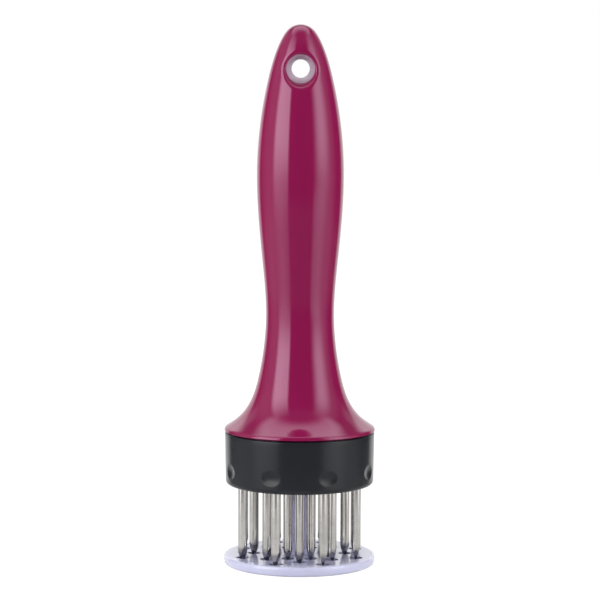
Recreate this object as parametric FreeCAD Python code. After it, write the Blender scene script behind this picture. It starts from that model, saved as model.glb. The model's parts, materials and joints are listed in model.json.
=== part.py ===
import FreeCAD, Part

import math
import os

from FreeCAD import Placement, Rotation, Vector

# A hand-held blade meat tenderizer. A moulded grip carries a black needle head on a bayonet.
# The head holds three rings of steel needles, and a clear guard plate on a sprung column
# covers their tips until the tool is pressed down.
# Lengths are in millimetres and angles in degrees. The origin is the middle of the guard
# plate's underside, +Z points up through the grip, and the front is on the -Y side.

# Guard plate and its column
GUARD_THICKNESS = 3.5
GUARD_EDGE_ROUND = 1.0
GUARD_TRAVEL = 26.0
GUARD_TOP_GAP = 0.5
GUARD_HOLE_CLEARANCE = 0.6
COLUMN_RADIUS = 4.5

# Needles
NEEDLES_PER_RING = 8
NEEDLE_RADIUS = 1.7
NEEDLE_HEAD_RADIUS = 2.3
NEEDLE_HEAD_HEIGHT = 1.4
NEEDLE_FIT = 0.03
NEEDLE_TIP_RECESS = 1.0
GRIND_LENGTH = 5.6
GRIND_EDGE_THICKNESS = 0.16
SIDE_GRIND_LENGTH = 4.2
SIDE_GRIND_EDGE = 1.3

# How far each needle was turned when it was pressed in, from the front towards the right
INNER_TURNS = (75.0, 20.0, 130.0, 100.0, 50.0, 160.0, 35.0, 110.0)
MIDDLE_TURNS = (60.0, 105.0, 65.0, 15.0, 145.0, 85.0, 120.0, 55.0)
OUTER_TURNS = (90.0, 85.0, 40.0, 150.0, 25.0, 100.0, 40.0, 62.0)

# Needle head, the black cup under the grip
HEAD_RADIUS = 27.8
HEAD_DRAFT = 0.3
HEAD_HEIGHT = 19.4
HEAD_WALL = 2.4
HEAD_FLOOR = 8.0
HEAD_BASE_ROUND = 1.5
HEAD_RIM_ROUND = 0.4
RING_EDGE_WALL = 0.4
RING_CENTRE_WALL = 1.0
FINGER_BALL_RADIUS = 5.2
FINGER_DEPTH = 1.35
FINGER_BASE_HEIGHT = 3.0

# Guide bush for the column
BUSH_RUNNING_CLEARANCE = 0.08
BUSH_WALL = 1.62
BUSH_HEIGHT = 30.0
BUSH_FLANGE_WIDTH = 1.7
BUSH_FLANGE_THICKNESS = 1.5
BUSH_LEAD_IN = 0.4
BUSH_FIT = 0.05

# Backing plate and its screws
BACKING_THICKNESS = 2.0
BACKING_EDGE_GAP = 0.4
BACKING_SCREW_COUNT = 4
BACKING_SCREW_RADIUS = 1.35
BACKING_SCREW_HEAD_RADIUS = 2.4
BACKING_SCREW_HEAD_HEIGHT = 1.6
BACKING_SCREW_GRIP = 4.5

# Stop washer and column screw
STOP_GAP = 0.05
WASHER_RADIUS = 7.2
WASHER_THICKNESS = 1.2
COLUMN_SCREW_RADIUS = 1.45
COLUMN_SCREW_HEAD_RADIUS = 2.9
COLUMN_SCREW_HEAD_HEIGHT = 1.9
COLUMN_SCREW_GRIP = 10.0
SCREW_FIT = 0.03
SCREW_HOLE_CLEARANCE = 0.25
SCREW_HOLE_EXTRA_DEPTH = 0.6
SCREW_POINT_SHARE = 0.5
SCREW_HEAD_SIDE_SHARE = 0.5
SCREW_HEAD_TOP_SHARE = 0.75

# Return spring and its seat
SPRING_WIRE_RADIUS = 0.5
SPRING_MEAN_RADIUS = 6.0
SPRING_ACTIVE_TURNS = 6
SPRING_COIL_GAP = 0.02
SPRING_GROUND_OFF = 0.3
SPRING_LENGTH = 63.5
SEAT_THICKNESS = 2.0
SEAT_SPIGOT_HEIGHT = 4.0
SEAT_SPIGOT_CLEARANCE = 0.2
SEAT_VENT_RADIUS = 1.5

# Bayonet between the needle head and the grip
BAYONET_LUGS = 3
BAYONET_TWIST = 25.0
BAYONET_LUG_SPAN = 14.0
BAYONET_LUG_HEIGHT = 2.6
BAYONET_LUG_DEPTH = 2.1
BAYONET_LUG_DROP = 2.6
BAYONET_CLEARANCE = 0.3
BAYONET_SEAT_GAP = 0.05
BAYONET_FIRST_LUG = 30.0

# Grip, one hollow moulding
FLANGE_GAP = 0.65
FLANGE_OVERHANG = 0.2
GRIP_LENGTH = 149.95
RIM_HEIGHT = 0.1
SHOULDER_ROUND = 1.6
SHOULDER_SLOPE = 58.0
NECK_RADIUS = 12.6
NECK_HEIGHT = 42.95
BULGE_RADIUS = 16.05
BULGE_HEIGHT = 95.45
NOSE_RADIUS = 6.6
NOSE_SLOPE = 50.5
NOSE_FLAT = 0.3
SPIGOT_WALL = 2.3
SPIGOT_BACKING_GAP = 1.0
SKIRT_WALL = 2.4
RIB_COUNT = 8
RIB_THICKNESS = 1.6
BORE_RADIUS = 8.6
BORE_TUBE_WALL = 2.4
BORE_STEP_DRAFT = 0.4
BORE_SEAT_CLEARANCE = 0.3
CORE_RADIUS = 6.0
CORE_LENGTH = 34.0
TUBE_RECESS = 2.0
RIB_RECESS = 1.2

# Grip outline: shares of the height and radius between the named sections
FLARE_STATIONS = ((0.0885, 0.6642), (0.2163, 0.4014), (0.4696, 0.1707))
WAIST_STATIONS = ((0.362, 0.362),)
DOME_STATIONS = ((0.633, 0.7427), (0.881, 0.471))

# Hanging hole through the top of the grip, from front to back
HOLE_DROP = 16.2
HOLE_RADIUS = 3.32
HOLE_LAND = 4.0
HOLE_DRAFT = 17.5
HOLE_RIM_ROUND = 1.1

# The spring's wire is drawn with flat sides
WIRE_SIDES = 6

# Margin by which a cutting shape runs past the face that it opens
CUT_MARGIN = 1.0

# Heights and radii that follow from the sizes above
GUARD_TOP = GUARD_THICKNESS
COLUMN_ROOT_ROUND = GUARD_TOP_GAP
HEAD_BASE = GUARD_TOP + GUARD_TRAVEL + GUARD_TOP_GAP
HEAD_TOP = HEAD_BASE + HEAD_HEIGHT
FLOOR_TOP = HEAD_BASE + HEAD_FLOOR
BACKING_TOP = FLOOR_TOP + BACKING_THICKNESS
HEAD_BASE_RADIUS = HEAD_RADIUS - HEAD_DRAFT
CUP_RADIUS = HEAD_RADIUS - HEAD_WALL

BUSH_BORE_RADIUS = COLUMN_RADIUS + BUSH_RUNNING_CLEARANCE
BUSH_RADIUS = BUSH_BORE_RADIUS + BUSH_WALL
BUSH_FLANGE_RADIUS = BUSH_RADIUS + BUSH_FLANGE_WIDTH
BUSH_TOP = HEAD_BASE + BUSH_HEIGHT
COLUMN_TOP = BUSH_TOP + STOP_GAP
WASHER_TOP = COLUMN_TOP + WASHER_THICKNESS
SPRING_TOP = WASHER_TOP + SPRING_LENGTH
SEAT_TOP = SPRING_TOP + SEAT_THICKNESS

OUTER_RING_RADIUS = CUP_RADIUS - RING_EDGE_WALL - NEEDLE_HEAD_RADIUS
INNER_RING_RADIUS = BUSH_FLANGE_RADIUS + RING_CENTRE_WALL + NEEDLE_HEAD_RADIUS
MIDDLE_RING_RADIUS = (OUTER_RING_RADIUS + INNER_RING_RADIUS) / 2
NEEDLE_PITCH = 360.0 / NEEDLES_PER_RING
TIP_HEIGHT = GUARD_TOP - NEEDLE_TIP_RECESS

FLANGE_RADIUS = HEAD_RADIUS + FLANGE_OVERHANG
GUARD_RADIUS = FLANGE_RADIUS
FLANGE_BASE = HEAD_TOP + FLANGE_GAP
GRIP_TOP = FLANGE_BASE + GRIP_LENGTH
SPIGOT_RADIUS = CUP_RADIUS - BAYONET_CLEARANCE
SPIGOT_INNER_RADIUS = SPIGOT_RADIUS - SPIGOT_WALL
SPIGOT_BASE = BACKING_TOP + SPIGOT_BACKING_GAP
TUBE_BASE = FLANGE_BASE + TUBE_RECESS
RIB_BASE = TUBE_BASE + RIB_RECESS
BORE_TOP_RADIUS = BORE_RADIUS - BORE_STEP_DRAFT
HOLE_HEIGHT = GRIP_TOP - HOLE_DROP

LUG_TOP = HEAD_TOP - BAYONET_LUG_DROP
LUG_BASE = LUG_TOP - BAYONET_LUG_HEIGHT
LUG_INNER_RADIUS = CUP_RADIUS - BAYONET_LUG_DEPTH

UP = Vector(0, 0, 1)
BACK = Vector(0, 1, 0)
CENTRE = Vector(0, 0, 0)
FULL_TURN = 360.0
FRONT = -90.0


def at(radius, height):
    """A point of a half section, in the XZ plane."""
    return Vector(radius, 0, height)


def line(start, end):
    """A straight edge."""
    return Part.makeLine(start, end)


def corner_arc(centre, radius, start, end):
    """An arc in the XZ plane round a centre, from one angle above +X to another."""
    middle = (start + end) / 2
    points = []
    for angle in (start, middle, end):
        turn = math.radians(angle)
        points.append(centre + Vector(radius * math.cos(turn), 0, radius * math.sin(turn)))
    return Part.Arc(*points).toShape()


def turned_edges(edges):
    """The solid made by turning a closed outline of edges about the main axis."""
    outline = Part.Wire(Part.__sortEdges__(edges))
    return Part.Face(outline).revolve(CENTRE, UP, FULL_TURN)


def turned(points):
    """The solid made by turning a polygon about the main axis."""
    outline = Part.makePolygon([*points, points[0]])
    return Part.Face(outline).revolve(CENTRE, UP, FULL_TURN)


def rod(radius, base, top):
    """A round bar on the main axis."""
    return Part.makeCylinder(radius, top - base, at(0, base))


def ring_sector(inner, outer, base, top, middle, span):
    """A piece of a ring, a given angle wide, centred on an angle from +X."""
    section = Part.Face(Part.makePolygon([
        at(inner, base),
        at(outer, base),
        at(outer, top),
        at(inner, top),
        at(inner, base),
    ]))
    piece = section.revolve(CENTRE, UP, span)
    piece.rotate(CENTRE, UP, middle - span / 2)
    return piece


def ring_place(radius, angle):
    """The point at a radius and an angle from +X, on the ground."""
    turn = math.radians(angle)
    return Vector(radius * math.cos(turn), radius * math.sin(turn), 0)


def placed(shape, place, turn=0.0):
    """A copy of a shape that is turned about its own axis and then moved."""
    copy = shape.copy()
    copy.Placement = Placement(place, Rotation(UP, turn)).multiply(shape.Placement)
    return copy


def needle_rings():
    """Each ring's name, radius, first angle from the front, and the turns of its needles."""
    half_pitch = NEEDLE_PITCH / 2
    return (
        ("inner", INNER_RING_RADIUS, half_pitch, INNER_TURNS),
        ("middle", MIDDLE_RING_RADIUS, 0.0, MIDDLE_TURNS),
        ("outer", OUTER_RING_RADIUS, half_pitch, OUTER_TURNS),
    )


def needle_places():
    """The name, place and turn of every needle."""
    places = []
    for ring, radius, first, turns in needle_rings():
        for index in range(NEEDLES_PER_RING):
            angle = FRONT + first + index * NEEDLE_PITCH
            turn = turns[index % len(turns)]
            places.append((f"needle_{ring}_{index + 1}", ring_place(radius, angle), turn))
    return places


def backing_screw_places():
    """Places between two inner needles and a middle one, as far from all three as can be."""
    inner_reach = INNER_RING_RADIUS * math.cos(math.radians(NEEDLE_PITCH / 2))
    squares = MIDDLE_RING_RADIUS ** 2 - INNER_RING_RADIUS ** 2
    radius = squares / (2 * (MIDDLE_RING_RADIUS - inner_reach))
    step = FULL_TURN / BACKING_SCREW_COUNT
    return [ring_place(radius, FRONT + index * step) for index in range(BACKING_SCREW_COUNT)]


def nose_centre():
    """Centre of the round nose, which ends in a small flat at the top of the grip."""
    return at(0, GRIP_TOP - math.sqrt(NOSE_RADIUS ** 2 - NOSE_FLAT ** 2))


def grip_outline_points():
    """Half section points of the grip from its shoulder up to the start of its round nose."""
    slope = math.radians(SHOULDER_SLOPE)
    shoulder = at(
        FLANGE_RADIUS - SHOULDER_ROUND * (1 - math.cos(slope)),
        FLANGE_BASE + RIM_HEIGHT + SHOULDER_ROUND * math.sin(slope),
    )
    neck = at(NECK_RADIUS, FLANGE_BASE + NECK_HEIGHT)
    bulge = at(BULGE_RADIUS, FLANGE_BASE + BULGE_HEIGHT)
    flare = [
        at(neck.x + (shoulder.x - neck.x) * out, shoulder.z + (neck.z - shoulder.z) * rise)
        for rise, out in FLARE_STATIONS
    ]
    waist = [
        at(neck.x + (bulge.x - neck.x) * out, neck.z + (bulge.z - neck.z) * rise)
        for rise, out in WAIST_STATIONS
    ]
    dome = [
        at(bulge.x * out, bulge.z + (GRIP_TOP - bulge.z) * rise)
        for rise, out in DOME_STATIONS
    ]
    turn = math.radians(NOSE_SLOPE)
    nose = nose_centre() + at(NOSE_RADIUS * math.sin(turn), NOSE_RADIUS * math.cos(turn))
    return [shoulder, *flare, neck, *waist, bulge, *dome, nose]


def grip_curve():
    """The smooth outline of the grip, from its shoulder to its nose."""
    slope = math.radians(SHOULDER_SLOPE)
    turn = math.radians(NOSE_SLOPE)
    curve = Part.BSplineCurve()
    curve.interpolate(
        Points=grip_outline_points(),
        InitialTangent=Vector(-math.sin(slope), 0, math.cos(slope)),
        FinalTangent=Vector(-math.cos(turn), 0, math.sin(turn)),
        Scale=False,
    )
    return curve


def grip_outer():
    """The grip's outer form: dome, waist, flange and the spigot that enters the needle head."""
    rim_top = FLANGE_BASE + RIM_HEIGHT
    shoulder_centre = at(FLANGE_RADIUS - SHOULDER_ROUND, rim_top)
    flat_angle = math.degrees(math.acos(NOSE_FLAT / NOSE_RADIUS))
    edges = [
        grip_curve().toShape(),
        corner_arc(nose_centre(), NOSE_RADIUS, 90 - NOSE_SLOPE, flat_angle),
        line(at(NOSE_FLAT, GRIP_TOP), at(0, GRIP_TOP)),
        corner_arc(shoulder_centre, SHOULDER_ROUND, 0, SHOULDER_SLOPE),
        line(at(FLANGE_RADIUS, rim_top), at(FLANGE_RADIUS, FLANGE_BASE)),
        line(at(FLANGE_RADIUS, FLANGE_BASE), at(SPIGOT_RADIUS, FLANGE_BASE)),
        line(at(SPIGOT_RADIUS, FLANGE_BASE), at(SPIGOT_RADIUS, SPIGOT_BASE)),
        line(at(SPIGOT_RADIUS, SPIGOT_BASE), at(0, SPIGOT_BASE)),
        line(at(0, SPIGOT_BASE), at(0, GRIP_TOP)),
    ]
    return turned_edges(edges)


def skirt_hollow():
    """The ring-shaped hollow under the flange, left one wall inside the outline."""
    curve = grip_curve()
    wall_points = []
    for station in grip_outline_points()[1:4]:
        along = Vector(*curve.tangent(curve.parameter(station))[0])
        inward = Vector(-along.z, 0, along.x)
        if inward.x > 0:
            inward = inward.negative()
        wall_points.append(station + inward.multiply(SKIRT_WALL))
    tube_radius = BORE_RADIUS + BORE_TUBE_WALL
    roof = wall_points[-1]
    inner_wall = Part.BSplineCurve()
    inner_wall.interpolate([at(SPIGOT_INNER_RADIUS, FLANGE_BASE), *wall_points])
    edges = [
        inner_wall.toShape(),
        line(at(SPIGOT_INNER_RADIUS, FLANGE_BASE), at(SPIGOT_INNER_RADIUS, SPIGOT_BASE - CUT_MARGIN)),
        line(
            at(SPIGOT_INNER_RADIUS, SPIGOT_BASE - CUT_MARGIN),
            at(tube_radius, SPIGOT_BASE - CUT_MARGIN),
        ),
        line(at(tube_radius, SPIGOT_BASE - CUT_MARGIN), at(tube_radius, roof.z)),
        line(at(tube_radius, roof.z), roof),
    ]
    return turned_edges(edges)


def skirt_ribs():
    """Radial ribs between the bore tube and the flange wall."""
    ribs = []
    for index in range(RIB_COUNT):
        rib = Part.makeBox(
            FLANGE_RADIUS,
            RIB_THICKNESS,
            GRIP_TOP - RIB_BASE,
            Vector(0, -RIB_THICKNESS / 2, RIB_BASE),
        )
        rib.rotate(CENTRE, UP, index * FULL_TURN / RIB_COUNT)
        ribs.append(rib)
    return ribs


def grip_bore():
    """The drafted bore that holds the spring, with the step for its seat and the core above."""
    mouth = SPIGOT_BASE - CUT_MARGIN
    core_top = SEAT_TOP + CORE_LENGTH
    return turned([
        at(0, mouth),
        at(BORE_RADIUS, mouth),
        at(BORE_RADIUS, TUBE_BASE),
        at(BORE_TOP_RADIUS, SEAT_TOP),
        at(CORE_RADIUS, SEAT_TOP),
        at(CORE_RADIUS, core_top - CORE_RADIUS / 2),
        at(CORE_RADIUS / 2, core_top),
        at(0, core_top),
    ])


def hanging_hole():
    """The hourglass hole: a straight throat that opens to both mouths."""
    half_land = HOLE_LAND / 2
    reach = BULGE_RADIUS
    mouth = HOLE_RADIUS + (reach - half_land) * math.tan(math.radians(HOLE_DRAFT))
    outline = Part.makePolygon([
        Vector(0, -reach, 0),
        Vector(mouth, -reach, 0),
        Vector(HOLE_RADIUS, -half_land, 0),
        Vector(HOLE_RADIUS, half_land, 0),
        Vector(mouth, reach, 0),
        Vector(0, reach, 0),
        Vector(0, -reach, 0),
    ])
    cutter = Part.Face(outline).revolve(CENTRE, BACK, FULL_TURN)
    cutter.translate(at(0, HOLE_HEIGHT))
    return cutter


def bayonet_slots():
    """L-shaped slots through the spigot: a run for each lug, and its way in from below."""
    clearance_angle = math.degrees(BAYONET_CLEARANCE / SPIGOT_RADIUS)
    lug_span = BAYONET_LUG_SPAN + 2 * clearance_angle
    inner = SPIGOT_INNER_RADIUS - CUT_MARGIN
    outer = SPIGOT_RADIUS + CUT_MARGIN
    run_base = LUG_BASE - BAYONET_SEAT_GAP
    run_top = LUG_TOP + BAYONET_CLEARANCE
    run_span = lug_span + BAYONET_TWIST
    slots = []
    for lug in range(BAYONET_LUGS):
        middle = BAYONET_FIRST_LUG + lug * FULL_TURN / BAYONET_LUGS
        entry = middle + BAYONET_TWIST
        run_middle = middle + BAYONET_TWIST / 2
        run = ring_sector(inner, outer, run_base, run_top, run_middle, run_span)
        way_in = ring_sector(inner, outer, SPIGOT_BASE - CUT_MARGIN, run_top, entry, lug_span)
        slots.append(run.fuse(way_in))
    return slots


def rounded_hole_rims(grip):
    """The grip with the two mouths of its hanging hole rounded over."""
    rims = []
    for edge in grip.Edges:
        box = edge.BoundBox
        wide = box.XLength > 2 * HOLE_RADIUS and box.XLength < BULGE_RADIUS
        beside_hole = box.ZMin > HOLE_HEIGHT - BULGE_RADIUS / 2 and box.ZMax < GRIP_TOP
        off_throat = box.YMin > HOLE_LAND or box.YMax < -HOLE_LAND
        if wide and beside_hole and off_throat:
            rims.append(edge)
    return grip.makeFillet(HOLE_RIM_ROUND, rims)


def make_handle_shell():
    """The grip: outer form, bore, ribbed skirt, bayonet slots and hanging hole."""
    grip = grip_outer().cut(hanging_hole())
    grip = rounded_hole_rims(grip)
    well = rod(SPIGOT_INNER_RADIUS, SPIGOT_BASE - CUT_MARGIN, TUBE_BASE)
    hollow = skirt_hollow().cut(skirt_ribs())
    grip = grip.cut([grip_bore(), well, hollow])
    return grip.cut(bayonet_slots())


def make_spring_seat():
    """The flanged plug that the spring pushes up against the step in the bore."""
    radius = BORE_TOP_RADIUS - BORE_SEAT_CLEARANCE
    lower = SPRING_MEAN_RADIUS - SPRING_WIRE_RADIUS - SEAT_SPIGOT_CLEARANCE
    upper = CORE_RADIUS - SEAT_SPIGOT_CLEARANCE
    return turned([
        at(SEAT_VENT_RADIUS, SPRING_TOP - SEAT_SPIGOT_HEIGHT),
        at(lower, SPRING_TOP - SEAT_SPIGOT_HEIGHT),
        at(lower, SPRING_TOP),
        at(radius, SPRING_TOP),
        at(radius, SEAT_TOP),
        at(upper, SEAT_TOP),
        at(upper, SEAT_TOP + SEAT_SPIGOT_HEIGHT),
        at(SEAT_VENT_RADIUS, SEAT_TOP + SEAT_SPIGOT_HEIGHT),
    ])


def finger_recesses():
    """Balls that cut shallow round dishes into the cup's side, one outside each outer needle."""
    reach = FINGER_BALL_RADIUS - FINGER_DEPTH
    half_height = math.sqrt(FINGER_BALL_RADIUS ** 2 - reach ** 2)
    middle = at(HEAD_BASE_RADIUS + reach, HEAD_BASE + FINGER_BASE_HEIGHT + half_height)
    ball = Part.makeSphere(FINGER_BALL_RADIUS, middle)
    first = FRONT + NEEDLE_PITCH / 2
    return [placed(ball, CENTRE, first + index * NEEDLE_PITCH) for index in range(NEEDLES_PER_RING)]


def needle_pockets():
    """The stepped holes in the cup's floor, one for each needle."""
    shank = NEEDLE_RADIUS + NEEDLE_FIT
    head = NEEDLE_HEAD_RADIUS + NEEDLE_FIT
    pocket = turned([
        at(0, HEAD_BASE - CUT_MARGIN),
        at(shank, HEAD_BASE - CUT_MARGIN),
        at(shank, FLOOR_TOP - NEEDLE_HEAD_HEIGHT),
        at(head, FLOOR_TOP - NEEDLE_HEAD_HEIGHT),
        at(head, FLOOR_TOP + CUT_MARGIN),
        at(0, FLOOR_TOP + CUT_MARGIN),
    ])
    return [placed(pocket, place) for _, place, _ in needle_places()]


def make_needle_head():
    """The black cup: drafted wall, thick needle floor, finger recesses and bayonet lugs."""
    base_centre = at(HEAD_BASE_RADIUS - HEAD_BASE_ROUND, HEAD_BASE + HEAD_BASE_ROUND)
    rim_centre = at(HEAD_RADIUS - HEAD_RIM_ROUND, HEAD_TOP - HEAD_RIM_ROUND)
    bush_hole = BUSH_RADIUS + BUSH_FIT
    flange_hole = BUSH_FLANGE_RADIUS + BUSH_FIT
    flange_base = FLOOR_TOP - BUSH_FLANGE_THICKNESS
    cup = turned_edges([
        corner_arc(base_centre, HEAD_BASE_ROUND, -90, 0),
        line(at(HEAD_BASE_RADIUS, base_centre.z), at(HEAD_RADIUS, rim_centre.z)),
        corner_arc(rim_centre, HEAD_RIM_ROUND, 0, 90),
        line(at(rim_centre.x, HEAD_TOP), at(CUP_RADIUS, HEAD_TOP)),
        line(at(CUP_RADIUS, HEAD_TOP), at(CUP_RADIUS, FLOOR_TOP)),
        line(at(CUP_RADIUS, FLOOR_TOP), at(flange_hole, FLOOR_TOP)),
        line(at(flange_hole, FLOOR_TOP), at(flange_hole, flange_base)),
        line(at(flange_hole, flange_base), at(bush_hole, flange_base)),
        line(at(bush_hole, flange_base), at(bush_hole, HEAD_BASE)),
        line(at(bush_hole, HEAD_BASE), at(base_centre.x, HEAD_BASE)),
    ])
    screw_holes = [
        placed(rod(BACKING_SCREW_RADIUS + SCREW_FIT,
                   FLOOR_TOP - BACKING_SCREW_GRIP - SCREW_HOLE_EXTRA_DEPTH,
                   FLOOR_TOP + CUT_MARGIN), place)
        for place in backing_screw_places()
    ]
    cup = cup.cut(finger_recesses())
    cup = cup.cut([*needle_pockets(), *screw_holes])
    for lug in range(BAYONET_LUGS):
        middle = BAYONET_FIRST_LUG + lug * FULL_TURN / BAYONET_LUGS
        root = CUP_RADIUS + HEAD_WALL / 2
        cup = cup.fuse(ring_sector(LUG_INNER_RADIUS, root, LUG_BASE, LUG_TOP, middle, BAYONET_LUG_SPAN))
    return cup.removeSplitter()


def make_guide_bush():
    """The flanged sleeve that guides the column, with a lead-in at each end of its bore."""
    flange_base = FLOOR_TOP - BUSH_FLANGE_THICKNESS
    mouth = BUSH_BORE_RADIUS + BUSH_LEAD_IN
    return turned([
        at(mouth, HEAD_BASE),
        at(BUSH_RADIUS, HEAD_BASE),
        at(BUSH_RADIUS, flange_base),
        at(BUSH_FLANGE_RADIUS, flange_base),
        at(BUSH_FLANGE_RADIUS, FLOOR_TOP),
        at(BUSH_RADIUS, FLOOR_TOP),
        at(BUSH_RADIUS, BUSH_TOP),
        at(mouth, BUSH_TOP),
        at(BUSH_BORE_RADIUS, BUSH_TOP - BUSH_LEAD_IN),
        at(BUSH_BORE_RADIUS, HEAD_BASE + BUSH_LEAD_IN),
    ])


def make_backing_plate():
    """The disc that clamps the needle heads and the bush flange into the floor."""
    radius = CUP_RADIUS - BACKING_EDGE_GAP
    plate = rod(radius, FLOOR_TOP, BACKING_TOP)
    low = FLOOR_TOP - CUT_MARGIN
    high = BACKING_TOP + CUT_MARGIN
    screw_hole = rod(BACKING_SCREW_RADIUS + SCREW_HOLE_CLEARANCE, low, high)
    holes = [placed(screw_hole, place) for place in backing_screw_places()]
    return plate.cut([rod(BUSH_RADIUS + BUSH_FIT, low, high), *holes])


def screw(seat, grip, radius, head_radius, head_height):
    """A pan head screw standing on the main axis: its head's underside is at seat."""
    return turned([
        at(0, seat - grip),
        at(radius * SCREW_POINT_SHARE, seat - grip),
        at(radius, seat - grip + radius),
        at(radius, seat),
        at(head_radius, seat),
        at(head_radius, seat + head_height * SCREW_HEAD_SIDE_SHARE),
        at(head_radius * SCREW_HEAD_TOP_SHARE, seat + head_height),
        at(0, seat + head_height),
    ])


def make_backing_screws():
    """The screws that hold the backing plate, as one group."""
    one = screw(
        BACKING_TOP,
        BACKING_THICKNESS + BACKING_SCREW_GRIP,
        BACKING_SCREW_RADIUS,
        BACKING_SCREW_HEAD_RADIUS,
        BACKING_SCREW_HEAD_HEIGHT,
    )
    return Part.makeCompound([placed(one, place) for place in backing_screw_places()])


def grinding_slab(edge_half, length, across):
    """A tapered slab: edge_half at the needle's tip, and past the shank at the grind's end."""
    grow = (NEEDLE_RADIUS - edge_half) / length
    top_half = edge_half + grow * (FLOOR_TOP - TIP_HEIGHT)
    width = 2 * NEEDLE_HEAD_RADIUS
    outline = Part.makePolygon([
        Vector(-edge_half, -width, TIP_HEIGHT),
        Vector(edge_half, -width, TIP_HEIGHT),
        Vector(top_half, -width, FLOOR_TOP),
        Vector(-top_half, -width, FLOOR_TOP),
        Vector(-edge_half, -width, TIP_HEIGHT),
    ])
    slab = Part.Face(outline).extrude(BACK * (2 * width))
    slab.rotate(CENTRE, UP, across)
    return slab


def make_needle():
    """One needle on the main axis: upset head, round shank and a tip ground on four sides."""
    shoulder = FLOOR_TOP - NEEDLE_HEAD_HEIGHT
    shank = rod(NEEDLE_RADIUS, TIP_HEIGHT, shoulder)
    shank = shank.common(grinding_slab(GRIND_EDGE_THICKNESS / 2, GRIND_LENGTH, 90.0))
    shank = shank.common(grinding_slab(SIDE_GRIND_EDGE / 2, SIDE_GRIND_LENGTH, 0.0))
    return shank.fuse(rod(NEEDLE_HEAD_RADIUS, shoulder, FLOOR_TOP))


def make_guard_plate():
    """The clear guard: a holed disc with rounded edges, and its column in one moulding."""
    upper = at(GUARD_RADIUS - GUARD_EDGE_ROUND, GUARD_TOP - GUARD_EDGE_ROUND)
    lower = at(GUARD_RADIUS - GUARD_EDGE_ROUND, GUARD_EDGE_ROUND)
    root = at(COLUMN_RADIUS + COLUMN_ROOT_ROUND, GUARD_TOP + COLUMN_ROOT_ROUND)
    guard = turned_edges([
        line(at(0, 0), at(lower.x, 0)),
        corner_arc(lower, GUARD_EDGE_ROUND, -90, 0),
        line(at(GUARD_RADIUS, lower.z), at(GUARD_RADIUS, upper.z)),
        corner_arc(upper, GUARD_EDGE_ROUND, 0, 90),
        line(at(upper.x, GUARD_TOP), at(root.x, GUARD_TOP)),
        corner_arc(root, COLUMN_ROOT_ROUND, 180, 270),
        line(at(COLUMN_RADIUS, root.z), at(COLUMN_RADIUS, COLUMN_TOP)),
        line(at(COLUMN_RADIUS, COLUMN_TOP), at(0, COLUMN_TOP)),
        line(at(0, COLUMN_TOP), at(0, 0)),
    ])
    hole = rod(NEEDLE_RADIUS + GUARD_HOLE_CLEARANCE, -CUT_MARGIN, GUARD_TOP + CUT_MARGIN)
    holes = [placed(hole, place) for _, place, _ in needle_places()]
    pilot_base = COLUMN_TOP - COLUMN_SCREW_GRIP - SCREW_HOLE_EXTRA_DEPTH
    pilot = rod(COLUMN_SCREW_RADIUS + SCREW_FIT, pilot_base, COLUMN_TOP + CUT_MARGIN)
    return guard.cut([*holes, pilot])


def make_stop_washer():
    """The washer that rests on the bush and keeps the guard from dropping out."""
    hole = COLUMN_SCREW_RADIUS + SCREW_HOLE_CLEARANCE
    return turned([
        at(hole, COLUMN_TOP),
        at(WASHER_RADIUS, COLUMN_TOP),
        at(WASHER_RADIUS, WASHER_TOP),
        at(hole, WASHER_TOP),
    ])


def make_column_screw():
    """The screw that holds the stop washer on the column."""
    return screw(
        WASHER_TOP,
        WASHER_THICKNESS + COLUMN_SCREW_GRIP,
        COLUMN_SCREW_RADIUS,
        COLUMN_SCREW_HEAD_RADIUS,
        COLUMN_SCREW_HEAD_HEIGHT,
    )


def coil(pitch, height, base):
    """The edges of a helix at the spring's mean radius that starts at a height."""
    helix = Part.makeHelix(pitch, height, SPRING_MEAN_RADIUS)
    helix.translate(at(0, base))
    return helix.Edges


def make_return_spring():
    """The compression spring: a closed turn at each end, ground flat, and open turns between."""
    start = WASHER_TOP + SPRING_WIRE_RADIUS - SPRING_GROUND_OFF
    end = SPRING_TOP - SPRING_WIRE_RADIUS + SPRING_GROUND_OFF
    closed_pitch = 2 * SPRING_WIRE_RADIUS + SPRING_COIL_GAP
    open_start = start + closed_pitch
    open_height = end - closed_pitch - open_start
    path = Part.Wire([
        *coil(closed_pitch, closed_pitch, start),
        *coil(open_height / SPRING_ACTIVE_TURNS, open_height, open_start),
        *coil(closed_pitch, closed_pitch, open_start + open_height),
    ])
    corners = []
    for corner in range(WIRE_SIDES + 1):
        turn = corner * 2 * math.pi / WIRE_SIDES
        corners.append(at(
            SPRING_MEAN_RADIUS + SPRING_WIRE_RADIUS * math.cos(turn),
            start + SPRING_WIRE_RADIUS * math.sin(turn),
        ))
    wire = path.makePipeShell([Part.makePolygon(corners)], True, True)
    return wire.common(rod(2 * SPRING_MEAN_RADIUS, WASHER_TOP, SPRING_TOP))


def build_parts():
    """Every piece of the tool by its name."""
    parts = {
        "handle_shell": make_handle_shell(),
        "spring_seat": make_spring_seat(),
        "return_spring": make_return_spring(),
        "needle_head": make_needle_head(),
        "guide_bush": make_guide_bush(),
        "backing_plate": make_backing_plate(),
        "backing_screws": make_backing_screws(),
        "guard_plate": make_guard_plate(),
        "stop_washer": make_stop_washer(),
        "column_screw": make_column_screw(),
    }
    needle = make_needle()
    for name, place, turn in needle_places():
        parts[name] = placed(needle, place, turn)
    return parts


os.makedirs("parts", exist_ok=True)
for name, shape in build_parts().items():
    shape.exportStep(f"parts/{name}.step")
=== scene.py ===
"""Looks of a hand-held blade meat tenderizer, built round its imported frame.

Each sub-assembly is a class that works its surfaces out with numpy and dresses them. Lengths
are in metres and angles in radians, +Z points up through the grip and the front is on the -Y
side. Every mesh is made of grids of points that share their borders and are welded there.
"""

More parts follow.
